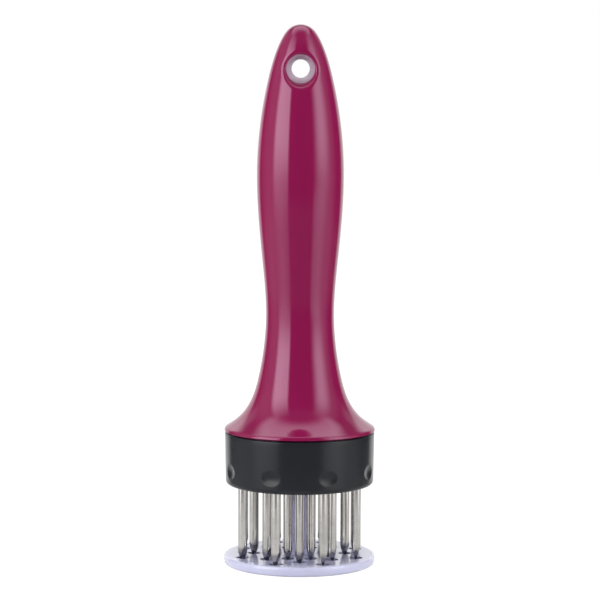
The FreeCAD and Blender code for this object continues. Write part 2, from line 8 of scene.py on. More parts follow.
import json
import logging
import math
from dataclasses import dataclass, field
from enum import Enum
from typing import Callable

import bmesh
import bpy
import numpy as np
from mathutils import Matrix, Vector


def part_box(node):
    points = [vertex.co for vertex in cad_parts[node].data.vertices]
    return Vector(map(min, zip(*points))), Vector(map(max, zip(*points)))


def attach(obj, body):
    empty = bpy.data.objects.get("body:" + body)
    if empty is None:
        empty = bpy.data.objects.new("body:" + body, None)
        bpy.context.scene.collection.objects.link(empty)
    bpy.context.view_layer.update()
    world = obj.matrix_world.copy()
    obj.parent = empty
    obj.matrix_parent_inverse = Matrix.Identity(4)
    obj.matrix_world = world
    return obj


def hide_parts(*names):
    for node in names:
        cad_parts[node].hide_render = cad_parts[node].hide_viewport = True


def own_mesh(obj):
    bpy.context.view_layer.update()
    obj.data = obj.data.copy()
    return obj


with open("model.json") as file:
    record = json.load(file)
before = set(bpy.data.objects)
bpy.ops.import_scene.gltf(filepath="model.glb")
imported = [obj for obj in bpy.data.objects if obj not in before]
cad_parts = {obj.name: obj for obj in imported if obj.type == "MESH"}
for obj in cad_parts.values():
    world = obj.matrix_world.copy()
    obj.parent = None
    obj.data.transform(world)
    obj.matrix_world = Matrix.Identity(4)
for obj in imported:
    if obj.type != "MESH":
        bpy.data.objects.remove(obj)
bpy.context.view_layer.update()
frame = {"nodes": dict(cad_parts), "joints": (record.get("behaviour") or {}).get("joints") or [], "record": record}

MM = 0.001
AROUND = 192
NEEDLE_PITCH = AROUND // 8
FRONT_COLUMN = 3 * AROUND // 4
FULL_TURN = 2 * math.pi
FLANGE_GAP = 0.65 * MM
WELD = 0.73e-6
CREASE_ANGLE = math.radians(32)
# Attribute with the share of painted shade at the guard's hole rims and lower edge.
PAINTED_EDGE_SHADE = "edge_share"
NEEDLE_HEAD_HEIGHT = 1.4 * MM
SEAT_PLUG_LENGTH = 4.0 * MM
WHITE = (1.0, 1.0, 1.0, 1.0)

Array = np.ndarray
Colour = tuple[float, float, float]
Tint = Colour | bpy.types.NodeSocket
log = logging.getLogger("tenderizer")


class Body(Enum):
    """The bodies that pieces ride on."""

    HANDLE = "handle"
    HEAD = "head"
    GUARD = "guard"


class Slot(Enum):
    """The record's material slots."""

    HANDLE_PLASTIC = "handle_plastic"
    BLACK_PLASTIC = "black_plastic"
    CLEAR_PLASTIC = "clear_plastic"
    NEEDLE_STEEL = "needle_steel"
    PLATE_STEEL = "plate_steel"
    SCREW_STEEL = "screw_steel"
    SPRING_STEEL = "spring_steel"
    WHITE_ACETAL = "white_acetal"


def linear(red: float, green: float, blue: float) -> Colour:
    """A colour given as it shows on screen, 0 to 255, in linear light: ((c + 0.055) / 1.055) ^ 2.4."""
    shown = np.array([red, green, blue]) / 255
    light = np.where(shown <= 0.04045, shown / 12.92, ((shown + 0.055) / 1.055) ** 2.4)
    return tuple(float(value) for value in light)


def column_angles(columns: Array) -> Array:
    """Angles from +X of columns of the shared angular grid, the same to the last digit in every grid."""
    return FULL_TURN * np.mod(columns, AROUND) / AROUND


def turned(profile: Array, first: int = 0, count: int = AROUND) -> Array:
    """Turns a profile about the main axis.

    A profile point (r, z) at angle a goes to (r cos a, r sin a, z).

    Args:
        profile: Radius and height of each point, shape (m, 2).
        first: First column of the shared angular grid.
        count: How many columns to cross.

    Returns:
        Grid of points, shape (m, count + 1, 3).
    """
    angle = column_angles(np.arange(first, first + count + 1))
    radius = profile[:, :1]
    height = np.broadcast_to(profile[:, 1:], (len(profile), count + 1))
    return np.stack([radius * np.cos(angle), radius * np.sin(angle), height], axis=-1)


def eased(start: Array, end: Array, steps: Array) -> Array:
    """Grid of points on straight lines between two rows of points, at the given shares of the way."""
    share = steps.reshape(-1, *([1] * start.ndim))
    return start + (end - start) * share


def rounded_profile(corners: list[tuple[float, float, float]], steps: int = 6) -> Array:
    """Half section whose corners are rounded by arcs tangent to both sides.

    A corner of angle b between its sides takes an arc that starts r / tan(b / 2) away from it and
    turns about a centre r / sin(b / 2) away along the bisector.

    Args:
        corners: Radius, height and rounding radius of each corner.
        steps: Spans in each arc.

    Returns:
        Radius and height of each point, shape (m, 2).
    """
    points = np.array([corner[:2] for corner in corners])
    pieces = [points[:1]]
    for before, here, after, (_, _, rounding) in zip(points, points[1:], points[2:], corners[1:-1]):
        if rounding <= 0:
            pieces.append(here[None])
            continue
        back = (before - here) / np.linalg.norm(before - here)
        ahead = (after - here) / np.linalg.norm(after - here)
        half = math.acos(float(np.clip(back @ ahead, -1, 1))) / 2
        bisector = (back + ahead) / np.linalg.norm(back + ahead)
        centre = here + bisector * rounding / math.sin(half)
        start = here + back * rounding / math.tan(half) - centre
        side = here + ahead * rounding / math.tan(half) - centre
        sweep = math.pi - 2 * half
        share = np.linspace(0, 1, steps + 1)[:, None]
        arc = (np.sin((1 - share) * sweep) * start + np.sin(share * sweep) * side) / math.sin(sweep)
        pieces.append(centre + arc)
    pieces.append(points[-1:])
    return np.concatenate(pieces)


def vertices_of(mesh: bpy.types.Mesh) -> Array:
    """Places of a mesh's vertices, shape (n, 3)."""
    points = np.empty(len(mesh.vertices) * 3)
    mesh.vertices.foreach_get("co", points)
    return points.reshape(-1, 3)


def spaced(profile: Array, step: float) -> Array:
    """The profile with points added on its straight runs, so that none is longer than a step."""
    runs = [profile[:1]]
    for start, end in zip(profile, profile[1:]):
        count = max(1, math.ceil(float(np.linalg.norm(end - start)) / step))
        runs.append(eased(start, end, np.linspace(0, 1, count + 1)[1:]))
    return np.concatenate(runs)


@dataclass
class Skin:
    """Grids of points that become one closed, welded mesh."""

    name: str
    grids: list[Array] = field(default_factory=list)

    def add(self, grid: Array) -> None:
        """Adds a grid of points, shape (rows, columns, 3)."""
        self.grids.append(grid)

    def build(self, crease: float = CREASE_ANGLE) -> bpy.types.Object:
        """Welds the grids and makes the object.

        Points that fall in the same cell of a very fine lattice are one vertex. A quad whose
        corners have been welded becomes a triangle, or goes if it has no area left.

        Args:
            crease: Edges that turn more than this stay sharp.

        Returns:
            The new object, smooth shaded, with its faces pointing outwards.
        """
        points = np.concatenate([grid.reshape(-1, 3) for grid in self.grids])
        quads, offset = [], 0
        for grid in self.grids:
            index = np.arange(grid.shape[0] * grid.shape[1]).reshape(grid.shape[:2]) + offset
            corners = (index[:-1, :-1], index[1:, :-1], index[1:, 1:], index[:-1, 1:])
            quads.append(np.stack(corners, axis=-1).reshape(-1, 4))
            offset += index.size
        lattice = np.round(points / WELD + 0.31).astype(np.int64)
        _, first, welded = np.unique(lattice, axis=0, return_index=True, return_inverse=True)
        faces = welded.reshape(-1)[np.concatenate(quads)]
        kept = faces != np.roll(faces, 1, axis=1)
        real = kept.sum(axis=1) > 2
        corners = faces[real][kept[real]]
        sizes = kept[real].sum(axis=1)

        mesh = bpy.data.meshes.new(self.name)
        mesh.vertices.add(len(first))
        mesh.vertices.foreach_set("co", points[first].astype(np.float32).reshape(-1))
        mesh.loops.add(len(corners))
        mesh.loops.foreach_set("vertex_index", corners.astype(np.int32))
        mesh.polygons.add(len(sizes))
        mesh.polygons.foreach_set("loop_start", (np.cumsum(sizes) - sizes).astype(np.int32))
        mesh.update(calc_edges=True)
        mesh.validate()
        shell = bmesh.new()
        shell.from_mesh(mesh)
        bmesh.ops.recalc_face_normals(shell, faces=shell.faces)
        shell.to_mesh(mesh)
        shell.free()
        mesh.shade_smooth()
        mesh.set_sharp_from_angle(angle=crease)
        piece = bpy.data.objects.new(self.name, mesh)
        bpy.context.scene.collection.objects.link(piece)
        edges = np.empty(len(mesh.loops), np.int32)
        mesh.loops.foreach_get("edge_index", edges)
        log.info("%s: %d triangles, %d open edges", self.name,
                 len(mesh.loops) - 2 * len(mesh.polygons), np.count_nonzero(np.bincount(edges) != 2))
        return piece


def dress(piece: bpy.types.Object, body: Body, slot: Slot, finish: "Finish", *stood_for: str) -> None:
    """Gives a new piece its finish and the body that it rides on.

    Args:
        piece: The object.
        body: What it moves with.
        slot: The record's slot that its finish comes from. Not used.
        finish: Its material.
        stood_for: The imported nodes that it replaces.
    """
    piece.data.materials.append(finish.material())
    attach(piece, body.value)
    if stood_for:
        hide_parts(*stood_for)


def cell_border(across: int, up: int) -> tuple[Array, Array]:
    """Counts along and up a rectangular cell, once round its border and back to the start.

    Args:
        across: Spans along the cell.
        up: Spans up the cell.

    Returns:
        Steps along and steps up, each of shape (2 (across + up) + 1,).
    """
    low = np.arange(across)
    side = np.arange(up)
    along = np.concatenate([low, np.full(up, across), across - low, np.zeros(up + 1, int)])
    rise = np.concatenate([np.zeros(across, int), side, np.full(across, up), up - side, [0]])
    return along, rise


class Graph:
    """Shader nodes under construction, of a material or of the world."""

    def __init__(self, owner: bpy.types.Material | bpy.types.World) -> None:
        """Empties the owner's node tree and gives it an output node."""
        self.owner = owner
        owner.use_nodes = True
        self.tree = owner.node_tree
        self.tree.nodes.clear()
        kind = "World" if isinstance(owner, bpy.types.World) else "Material"
        self.output = self.node("Output" + kind)

    @classmethod
    def of_material(cls, name: str) -> "Graph":
        """The nodes of a new material."""
        return cls(bpy.data.materials.new(name))

    def node(self, kind: str, **settings: object) -> bpy.types.Node:
        """A new node, with its properties set by name."""
        made = self.tree.nodes.new("ShaderNode" + kind)
        for name, value in settings.items():
            setattr(made, name, value)
        return made

    def set(self, node: bpy.types.Node, **values: object) -> bpy.types.Node:
        """Sets input sockets, whose names are written with underscores for spaces."""
        for name, value in values.items():
            node.inputs[name.replace("_", " ")].default_value = value
        return node

    def link(self, source: bpy.types.NodeSocket, target: bpy.types.NodeSocket) -> None:
        """Joins two sockets."""
        self.tree.links.new(source, target)

    def place(self, scale: Colour = (1.0, 1.0, 1.0)) -> bpy.types.NodeSocket:
        """Object coordinates, stretched by a scale along each axis."""
        coordinates = self.node("TexCoord")
        mapping = self.node("Mapping")
        mapping.inputs["Scale"].default_value = scale
        self.link(coordinates.outputs["Object"], mapping.inputs["Vector"])
        return mapping.outputs["Vector"]

    def noise(self, place: bpy.types.NodeSocket, scale: float, detail: float = 2.0,
              roughness: float = 0.5) -> bpy.types.NodeSocket:
        """A noise value from 0 to 1 at a place."""
        noise = self.set(self.node("TexNoise"), Scale=scale, Detail=detail, Roughness=roughness)
        self.link(place, noise.inputs["Vector"])
        return noise.outputs["Fac"]

    def maths(self, operation: str, *values: object) -> bpy.types.NodeSocket:
        """The result of a maths operation on sockets or plain numbers."""
        maths = self.node("Math", operation=operation)
        for value, socket in zip(values, maths.inputs):
            if isinstance(value, bpy.types.NodeSocket):
                self.link(value, socket)
            else:
                socket.default_value = value
        return maths.outputs[0]

    def ranged(self, value: bpy.types.NodeSocket, low: float, high: float, to_low: float,
               to_high: float, kind: str = "LINEAR") -> bpy.types.NodeSocket:
        """A value carried from one range to another and held at its ends."""
        mapped = self.node("MapRange", interpolation_type=kind)
        for name, number in zip(("From Min", "From Max", "To Min", "To Max"), (low, high, to_low, to_high)):
            mapped.inputs[name].default_value = number
        self.link(value, mapped.inputs["Value"])
        return mapped.outputs["Result"]

    def blended(self, share: bpy.types.NodeSocket, low: Tint, high: Tint) -> bpy.types.NodeSocket:
        """A colour between two, each fixed or worked out, by a share."""
        mix = self.node("Mix", data_type="RGBA")
        self.link(share, mix.inputs[0])
        for colour, socket in ((low, mix.inputs[6]), (high, mix.inputs[7])):
            if isinstance(colour, bpy.types.NodeSocket):
                self.link(colour, socket)
            else:
                socket.default_value = (*colour, 1.0)
        return mix.outputs[2]

    def mixed(self, share: bpy.types.NodeSocket, first: bpy.types.Node,
              second: bpy.types.Node) -> bpy.types.Node:
        """A mix of two shaders by a share of the second."""
        mix = self.node("MixShader")
        self.link(share, mix.inputs[0])
        self.link(first.outputs[0], mix.inputs[1])
        self.link(second.outputs[0], mix.inputs[2])
        return mix

    def split(self, vector: bpy.types.NodeSocket) -> tuple[bpy.types.NodeSocket, ...]:
        """The X, Y and Z of a vector."""
        parts = self.node("SeparateXYZ")
        self.link(vector, parts.inputs[0])
        return tuple(parts.outputs)

    def length(self, vector: bpy.types.NodeSocket) -> bpy.types.NodeSocket:
        """The length of a vector."""
        measure = self.node("VectorMath", operation="LENGTH")
        self.link(vector, measure.inputs[0])
        return measure.outputs["Value"]

    def looked_at(self) -> bpy.types.NodeSocket:
        """1 for a ray from the camera, also through clear plastic, and 0 for any other."""
        path = self.node("LightPath")
        return self.maths("MAXIMUM", path.outputs["Is Camera Ray"], path.outputs["Is Transmission Ray"])

    def bump(self, height: bpy.types.NodeSocket, depth: float,
             under: bpy.types.NodeSocket | None = None) -> bpy.types.NodeSocket:
        """A normal bent by a height, a depth in metres at height 1, over an earlier normal."""
        bump = self.set(self.node("Bump"), Strength=1.0, Distance=depth)
        self.link(height, bump.inputs["Height"])
        if under is not None:
            self.link(under, bump.inputs["Normal"])
        return bump.outputs["Normal"]

    def surface(self, shader: bpy.types.Node) -> bpy.types.ID:
        """Sends a shader to the output and returns the owner of the nodes."""
        self.link(shader.outputs[0], self.output.inputs["Surface"])
        return self.owner


class Finish:
    """A finish that makes its material once and then hands out the same one."""

    made: dict[str, bpy.types.Material] = {}

    def material(self) -> bpy.types.Material:
        """The finish's material."""
        if self.name not in Finish.made:
            Finish.made[self.name] = self.paint(Graph.of_material(self.name))
        return Finish.made[self.name]

    def paint(self, graph: Graph) -> bpy.types.Material:
        """Builds the material's nodes."""
        raise NotImplementedError


@dataclass(frozen=True)
class MouldedPlastic(Finish):
    """Solid coloured plastic from a polished or a satin mould."""

    name: str
    colour: Colour
    shade: Colour
    roughness: float
    haze: float
    flow_scale: float = 38.0
    grain_scale: float = 5200.0
    grain_depth: float = 0.4e-6
    ripple_scale: float = 260.0
    ripple_depth: float = 1.2e-6
    ior: float = 1.5
    gloss_tint: Colour = (1.0, 1.0, 1.0)
    # Painted reflection: a paler colour on the hanging hole's wall, standing in for the white surroundings that it
    # catches at grazing angles.
    bore_reflection_colour: Colour | None = None
    bore_height: float = 183.8 * MM
    bore_reflection_reach: tuple[float, float] = (4.95 * MM, 5.5 * MM)

    def paint(self, graph: Graph) -> bpy.types.Material:
        """Colour that drifts with the melt's flow, smeared gloss, mould ripple and fine grain.

        A hanging hole's wall is painted paler: a painted reflection of the white surroundings, which the wall
        catches at grazing angles. How far a point is from the hole's axis decides that.
        """
        place = graph.place()
        shader = graph.set(graph.node("BsdfPrincipled"), IOR=self.ior, Specular_Tint=(*self.gloss_tint, 1.0))
        flow = graph.noise(graph.place((1.0, 1.0, 0.25)), self.flow_scale, 3.0)
        colour = graph.blended(flow, self.colour, self.shade)
        # Painted reflection on the hole's wall, paler near the hole's axis.
        if self.bore_reflection_colour is not None:
            offset = graph.node("VectorMath", operation="SUBTRACT")
            offset.inputs[1].default_value = (0.0, 0.0, self.bore_height)
            graph.link(graph.place((1.0, 0.0, 1.0)), offset.inputs[0])
            reach = graph.length(offset.outputs[0])
            share = graph.ranged(reach, *self.bore_reflection_reach, 1.0, 0.0, "SMOOTHSTEP")
            colour = graph.blended(share, colour, self.bore_reflection_colour)
        graph.link(colour, shader.inputs["Base Color"])
        smears = graph.noise(graph.place((1.0, 1.0, 0.4)), 4 * self.flow_scale, 4.0, 0.6)
        gloss = graph.ranged(smears, 0.35, 0.7, self.roughness, self.roughness + self.haze)
        graph.link(gloss, shader.inputs["Roughness"])
        ripple = graph.bump(graph.noise(place, self.ripple_scale, 1.0), self.ripple_depth)
        grain = graph.bump(graph.noise(place, self.grain_scale, 2.0), self.grain_depth, ripple)
        graph.link(grain, shader.inputs["Normal"])
        return graph.surface(shader)


@dataclass(frozen=True)
class ClearPlastic(Finish):
    """Tinted clear plastic with a milky body."""

    name: str
    colour: Colour
    # Painted shade: the dark colour painted at the edges, where the plate bends light away.
    edge_shade_colour: Colour
    transmission: float
    roughness: float
    milkiness: float = 0.4
    inner_light: float = 0.35
    spread: float = 6.0 * MM
    ior: float = 1.49
    cloud_scale: float = 90.0
    cloud_gain: float = 1.03
    scuff_scale: float = 420.0
    scuff_gain: float = 2.5
    ripple_scale: float = 300.0
    ripple_depth: float = 1.5e-6

    def paint(self, graph: Graph) -> bpy.types.Material:
        """A milky body under a clear gloss, with faint flow marks and painted shade at the edges: dark lines
        painted at the hole rims and the lower outer rim, where the plate bends light away.
        """
        place = graph.place()
        shader = graph.set(graph.node("BsdfPrincipled"), IOR=self.ior, Roughness=self.milkiness,
                           Transmission_Weight=self.transmission, Coat_Weight=1.0, Coat_IOR=self.ior,
                           Subsurface_Weight=self.inner_light, Subsurface_Radius=(1.0, 1.0, 1.0),
                           Subsurface_Scale=self.spread)
        cloud = graph.noise(place, self.cloud_scale, 3.0)
        pale = tuple(min(1.0, self.cloud_gain * value) for value in self.colour)
        body = graph.blended(cloud, self.colour, pale)
        # Painted shade: the base colour darkens towards the edge colour at the hole rims and the lower outer edge.
        edge = graph.node("Attribute", attribute_name=PAINTED_EDGE_SHADE)
        graph.link(graph.blended(edge.outputs["Fac"], body, self.edge_shade_colour), shader.inputs["Base Color"])
        scuffs = graph.noise(graph.place((1.0, 1.0, 0.3)), self.scuff_scale, 4.0, 0.65)
        graph.link(graph.ranged(scuffs, 0.4, 0.75, self.roughness, self.scuff_gain * self.roughness),
                   shader.inputs["Coat Roughness"])
        ripple = graph.bump(graph.noise(place, self.ripple_scale, 1.0), self.ripple_depth)
        graph.link(ripple, shader.inputs["Normal"])
        graph.link(ripple, shader.inputs["Coat Normal"])
        return graph.surface(shader)


@dataclass(frozen=True)
class Steel(Finish):
    """Bare steel with fine lines left by grinding, drawing or turning."""

    name: str
    colour: Colour
    stain: Colour
    roughness: float
    haze: float
    lines: Colour
    line_depth: float
    stain_scale: float = 160.0
    ground: Colour | None = None
    ground_heights: tuple[float, float] = (0.0, 0.0)

    def paint(self, graph: Graph) -> bpy.types.Material:
        """Tint that drifts, streaky gloss and fine lines across the stretch of the noise."""
        place = graph.place()
        shader = graph.set(graph.node("BsdfPrincipled"), Metallic=1.0)
        tint = graph.noise(place, self.stain_scale, 4.0, 0.6)
        share = graph.ranged(tint, 0.45, 0.75, 0.0, 1.0)
        colour = graph.blended(share, self.colour, self.stain)
        if self.ground is not None:
            low = graph.ranged(graph.split(place)[2], *self.ground_heights, 1.0, 0.0, "SMOOTHSTEP")
            colour = graph.blended(low, colour, self.ground)
        graph.link(colour, shader.inputs["Base Color"])
        streaks = graph.noise(graph.place(self.lines), 1.0, 3.0, 0.6)
        graph.link(graph.ranged(streaks, 0.3, 0.7, self.roughness, self.roughness + self.haze),
                   shader.inputs["Roughness"])
        graph.link(graph.bump(streaks, self.line_depth), shader.inputs["Normal"])
        return graph.surface(shader)


# The grip's paler hole wall colour is a painted reflection of the white surroundings.
GRIP_PLASTIC = MouldedPlastic(
    "gloss_magenta", linear(135, 22, 74), linear(131, 20, 71), roughness=0.07, haze=0.04,
    gloss_tint=(0.94, 0.8, 1.0), bore_reflection_colour=linear(188, 160, 182))
CUP_PLASTIC = MouldedPlastic(
    "satin_black", linear(35, 37, 41), linear(37, 39, 43), roughness=0.16, haze=0.05,
    grain_depth=0.5e-6, ripple_depth=0.5e-6, ior=1.3)
ACETAL = MouldedPlastic(
    "white_acetal", linear(232, 232, 226), linear(224, 223, 216), roughness=0.38, haze=0.1)
# Its dark second colour is painted shade at the plate's hole rims and lower edge.
GUARD_PLASTIC = ClearPlastic(
    "lavender_clear", linear(216, 217, 254), linear(80, 80, 102), transmission=0.22, roughness=0.04)
NEEDLE_STEEL = Steel(
    "ground_steel", linear(203, 200, 197), linear(176, 173, 168), roughness=0.15, haze=0.03,
    lines=(1800.0, 1800.0, 12.0), line_depth=0.05e-6, stain_scale=60.0, ground=linear(140, 138, 141),
    ground_heights=(6.2 * MM, 8.2 * MM))
PLATE_STEEL = Steel(
    "rolled_steel", linear(205, 205, 206), linear(190, 189, 187), roughness=0.28, haze=0.14,
    lines=(9000.0, 250.0, 9000.0), line_depth=0.8e-6)
SCREW_STEEL = Steel(
    "zinc_plate", linear(206, 208, 212), linear(188, 190, 188), roughness=0.2, haze=0.15,
    lines=(2500.0, 2500.0, 2500.0), line_depth=0.8e-6)
SPRING_STEEL = Steel(
    "drawn_wire", linear(196, 196, 200), linear(172, 172, 174), roughness=0.22, haze=0.1,
    lines=(700.0, 700.0, 6000.0), line_depth=0.6e-6)


@dataclass
class Grip:
    """The magenta handle moulding, with its hanging hole."""

    flange_radius: float
    flange_base: float
    top: float
    hole_height: float
    hole_radius: float
    hole_land: float
    spigot_base: float
    seat_top: float
    hole_draft: float = math.radians(17.5)
    hole_rim_round: float = 1.5 * MM
    rim_height: float = 0.1 * MM
    shoulder_round: float = 1.6 * MM
    shoulder_slope: float = math.radians(58)
    neck: tuple[float, float] = (12.6 * MM, 42.95 * MM)
    bulge: tuple[float, float] = (16.05 * MM, 95.45 * MM)
    nose_radius: float = 6.6 * MM
    nose_slope: float = math.radians(50.5)
    spigot_radius: float = 25.1 * MM
    spigot_wall: float = 2.3 * MM
    well_depth: float = 2.0 * MM
    bore_radius: float = 8.6 * MM
    bore_draft: float = 0.4 * MM
    core_radius: float = 6.0 * MM
    core_length: float = 34.0 * MM
    flare_shares: tuple = ((0.0885, 0.6642), (0.2163, 0.4014), (0.4696, 0.1707))
    waist_shares: tuple = ((0.362, 0.362),)
    dome_shares: tuple = ((0.633, 0.7427), (0.881, 0.471))
    row_step: float = 0.75 * MM
    patch_reach: float = 11.2 * MM
    patch_columns: int = 60
    patch_rows: int = 26
    longest_span: float = 6.0 * MM
    shoulder_spans: int = 11
    nose_spans: int = 13
    mouth_passes: int = 30
    spread_spans: int = 13
    spread_crowding: float = 0.8
    rim_spans: int = 12
    cone_spans: int = 8
    throat_spans: int = 3

    def stations(self) -> Array:
        """Points of the outline from the shoulder to the nose, from shares of the named sections."""
        slope, turn = self.shoulder_slope, self.nose_slope
        shoulder = (self.flange_radius - self.shoulder_round * (1 - math.cos(slope)),
                    self.flange_base + self.rim_height + self.shoulder_round * math.sin(slope))
        neck = (self.neck[0], self.flange_base + self.neck[1])
        bulge = (self.bulge[0], self.flange_base + self.bulge[1])
        flare = [(neck[0] + (shoulder[0] - neck[0]) * out, shoulder[1] + (neck[1] - shoulder[1]) * rise)
                 for rise, out in self.flare_shares]
        waist = [(neck[0] + (bulge[0] - neck[0]) * out, neck[1] + (bulge[1] - neck[1]) * rise)
                 for rise, out in self.waist_shares]
        dome = [(bulge[0] * out, bulge[1] + (self.top - bulge[1]) * rise)
                for rise, out in self.dome_shares]
        nose = (self.nose_radius * math.sin(turn),
                self.top - self.nose_radius * (1 - math.cos(turn)))
        return np.array([shoulder, *flare, neck, *waist, bulge, *dome, nose])

    def outline(self) -> Array:
        """Outer half section from the shoulder to the nose.

        A cubic spline through the stations over the summed length of their chords, with unit
        slopes at its ends: the slopes between come from the usual tridiagonal equations, and each
        span is a Hermite cubic. It is sampled at even spans.

        Returns:
            Radius and height of each point, shape (m, 2).
        """
        knots = self.stations()
        chord = np.linalg.norm(np.diff(knots, axis=0), axis=1)
        place = np.concatenate([[0], np.cumsum(chord)])
        count = len(knots)
        matrix = np.eye(count)
        known = np.zeros((count, 2))
        known[0] = (-math.sin(self.shoulder_slope), math.cos(self.shoulder_slope))
        known[-1] = (-math.cos(self.nose_slope), math.sin(self.nose_slope))
        inner = np.arange(1, count - 1)
        left, right = chord[:-1, None], chord[1:, None]
        matrix[inner, inner - 1] = chord[1:]
        matrix[inner, inner] = 2 * (chord[:-1] + chord[1:])
        matrix[inner, inner + 1] = chord[:-1]
        rise = np.diff(knots, axis=0)
        known[inner] = 3 * (right / left * rise[:-1] + left / right * rise[1:])
        slopes = np.linalg.solve(matrix, known)

        samples = np.linspace(0, place[-1], math.ceil(place[-1] / self.row_step) + 1)
        span = np.clip(np.searchsorted(place, samples, side="right") - 1, 0, count - 2)
        share = ((samples - place[span]) / chord[span])[:, None]
        width = chord[span][:, None]
        start, end = knots[span], knots[span + 1]
        return ((1 + 2 * share) * (1 - share) ** 2 * start + share * (1 - share) ** 2 * width * slopes[span]
                + share ** 2 * (3 - 2 * share) * end + share ** 2 * (share - 1) * width * slopes[span + 1])

    def nose_arc(self) -> Array:
        """The round nose: an arc about a point on the axis, up to the pole."""
        turn = np.linspace(self.nose_slope, 0, self.nose_spans + 1)[1:]
        return np.stack([self.nose_radius * np.sin(turn),
                         self.top - self.nose_radius * (1 - np.cos(turn))], axis=-1)

    def radius_at(self, height: Array) -> Array:
        """Radius of the outer surface at a height, read between closely spaced outline points."""
        fine = np.concatenate([self.outline(), self.nose_arc()])
        return np.interp(height, fine[:, 1], fine[:, 0])

    def skirt(self) -> Array:
        """Half section from the bore's top, down inside the spigot and out to the shoulder."""
        inner = self.spigot_radius - self.spigot_wall
        well = self.flange_base + self.well_depth
        core_top = self.seat_top + self.core_length
        corners = [
            (0.0, core_top, 0.0),
            (self.core_radius / 2, core_top, 0.0),
            (self.core_radius, core_top - self.core_radius / 2, 0.0),
            (self.core_radius, self.seat_top, 0.0),
            (self.bore_radius - self.bore_draft, self.seat_top, 0.0),
            (self.bore_radius, well, 0.2 * MM),
            (inner, well, 0.5 * MM),
            (inner, self.spigot_base, 0.3 * MM),
            (self.spigot_radius, self.spigot_base, 0.4 * MM),
            (self.spigot_radius, self.flange_base, 0.3 * MM),
            (self.flange_radius, self.flange_base, 0.08 * MM),
            (self.flange_radius, self.flange_base + self.rim_height, 0.0),
        ]
        turn = np.linspace(0, self.shoulder_slope, self.shoulder_spans + 1)[1:]
        arc = np.stack([self.flange_radius - self.shoulder_round * (1 - np.cos(turn)),
                        self.flange_base + self.rim_height + self.shoulder_round * np.sin(turn)], axis=-1)
        return np.concatenate([spaced(rounded_profile(corners, 4), self.longest_span), arc])

    def hole_patch(self, side: int, low: float, high: float, rows: Array) -> Array:
        """One mouth of the hanging hole and the grip's surface round it, down to the throat's middle.

        Each ray starts on the border of a rectangle in angle and height and runs straight in
        angle and height to the rim. The rim is a parabola arc that leaves the surface along the
        ray and enters the cone along its slope. The cone then runs to the throat, a plain cylinder.

        Args:
            side: -1 for the front mouth and 1 for the back one.
            low: Lowest height of the rectangle.
            high: Highest height of the rectangle.
            rows: Heights of the rectangle's rows.

        Returns:
            Grid of points, shape (steps, rays, 3).
        """
        centre_column = FRONT_COLUMN if side < 0 else AROUND // 4
        along, rise = cell_border(self.patch_columns, len(rows) - 1)
        column = centre_column - self.patch_columns // 2 + along
        angle = (column - centre_column) * FULL_TURN / AROUND
        height = rows[rise]
        middle = (low + high) / 2
        half_span = self.patch_columns / 2 * FULL_TURN / AROUND
        bearing = np.arctan2((height - middle) / (high - low) * 2, angle / half_span)

        def surface(at_angle: Array, at_height: Array) -> Array:
            """Points of the outer surface at an angle from the mouth's middle and a height."""
            radius = self.radius_at(at_height)
            across = radius * np.sin(at_angle) * -side
            depth = side * radius * np.cos(at_angle)
            return np.stack([across, depth, at_height], axis=-1)

        def crossing(reach: Array) -> Array:
            """The point of the outer surface above or beside the hole's axis by a reach along the bearing."""
            across = reach * np.cos(bearing)
            at_height = self.hole_height + reach * np.sin(bearing)
            radius = self.radius_at(at_height)
            depth = np.sqrt(np.maximum(radius ** 2 - across ** 2, 0))
            return np.stack([across * -side, side * depth, at_height], axis=-1)

        land = self.hole_land / 2
        slope = math.tan(self.hole_draft)
        mouth = np.full(bearing.shape, self.hole_radius)
        for _ in range(self.mouth_passes):
            mouth = self.hole_radius + (np.abs(crossing(mouth)[:, 1]) - land) * slope
        corner = crossing(mouth)
        outside = crossing(mouth + self.hole_rim_round)
        sideways = np.stack([np.cos(bearing) * -side, np.zeros_like(bearing), np.sin(bearing)], axis=-1)
        inward = np.abs(corner[:, 1]) - self.hole_rim_round
        inside = sideways * (self.hole_radius + (inward - land) * slope)[:, None]
        inside[:, 1] = side * inward
        inside[:, 2] += self.hole_height
        throat_mouth = sideways * self.hole_radius
        throat_mouth[:, 1] = side * land
        throat_mouth[:, 2] += self.hole_height
        throat_middle = throat_mouth * np.array([1.0, 0.0, 1.0])

        outside_angle = np.arctan2(outside[:, 0] * -side, outside[:, 1] * side)
        share = np.linspace(0, 1, self.spread_spans + 1)[:, None] ** self.spread_crowding
        spread = surface(angle + (outside_angle - angle) * share, height + (outside[:, 2] - height) * share)
        spread[0] = surface(angle, height)
        turn = np.linspace(0, 1, self.rim_spans + 1)[1:, None, None]
        rim = (1 - turn) ** 2 * outside + 2 * turn * (1 - turn) * corner + turn ** 2 * inside
        cone = eased(inside, throat_mouth, np.linspace(0, 1, self.cone_spans + 1)[1:])
        throat = eased(throat_mouth, throat_middle, np.linspace(0, 1, self.throat_spans + 1)[1:])
        return np.concatenate([spread, rim, cone, throat])

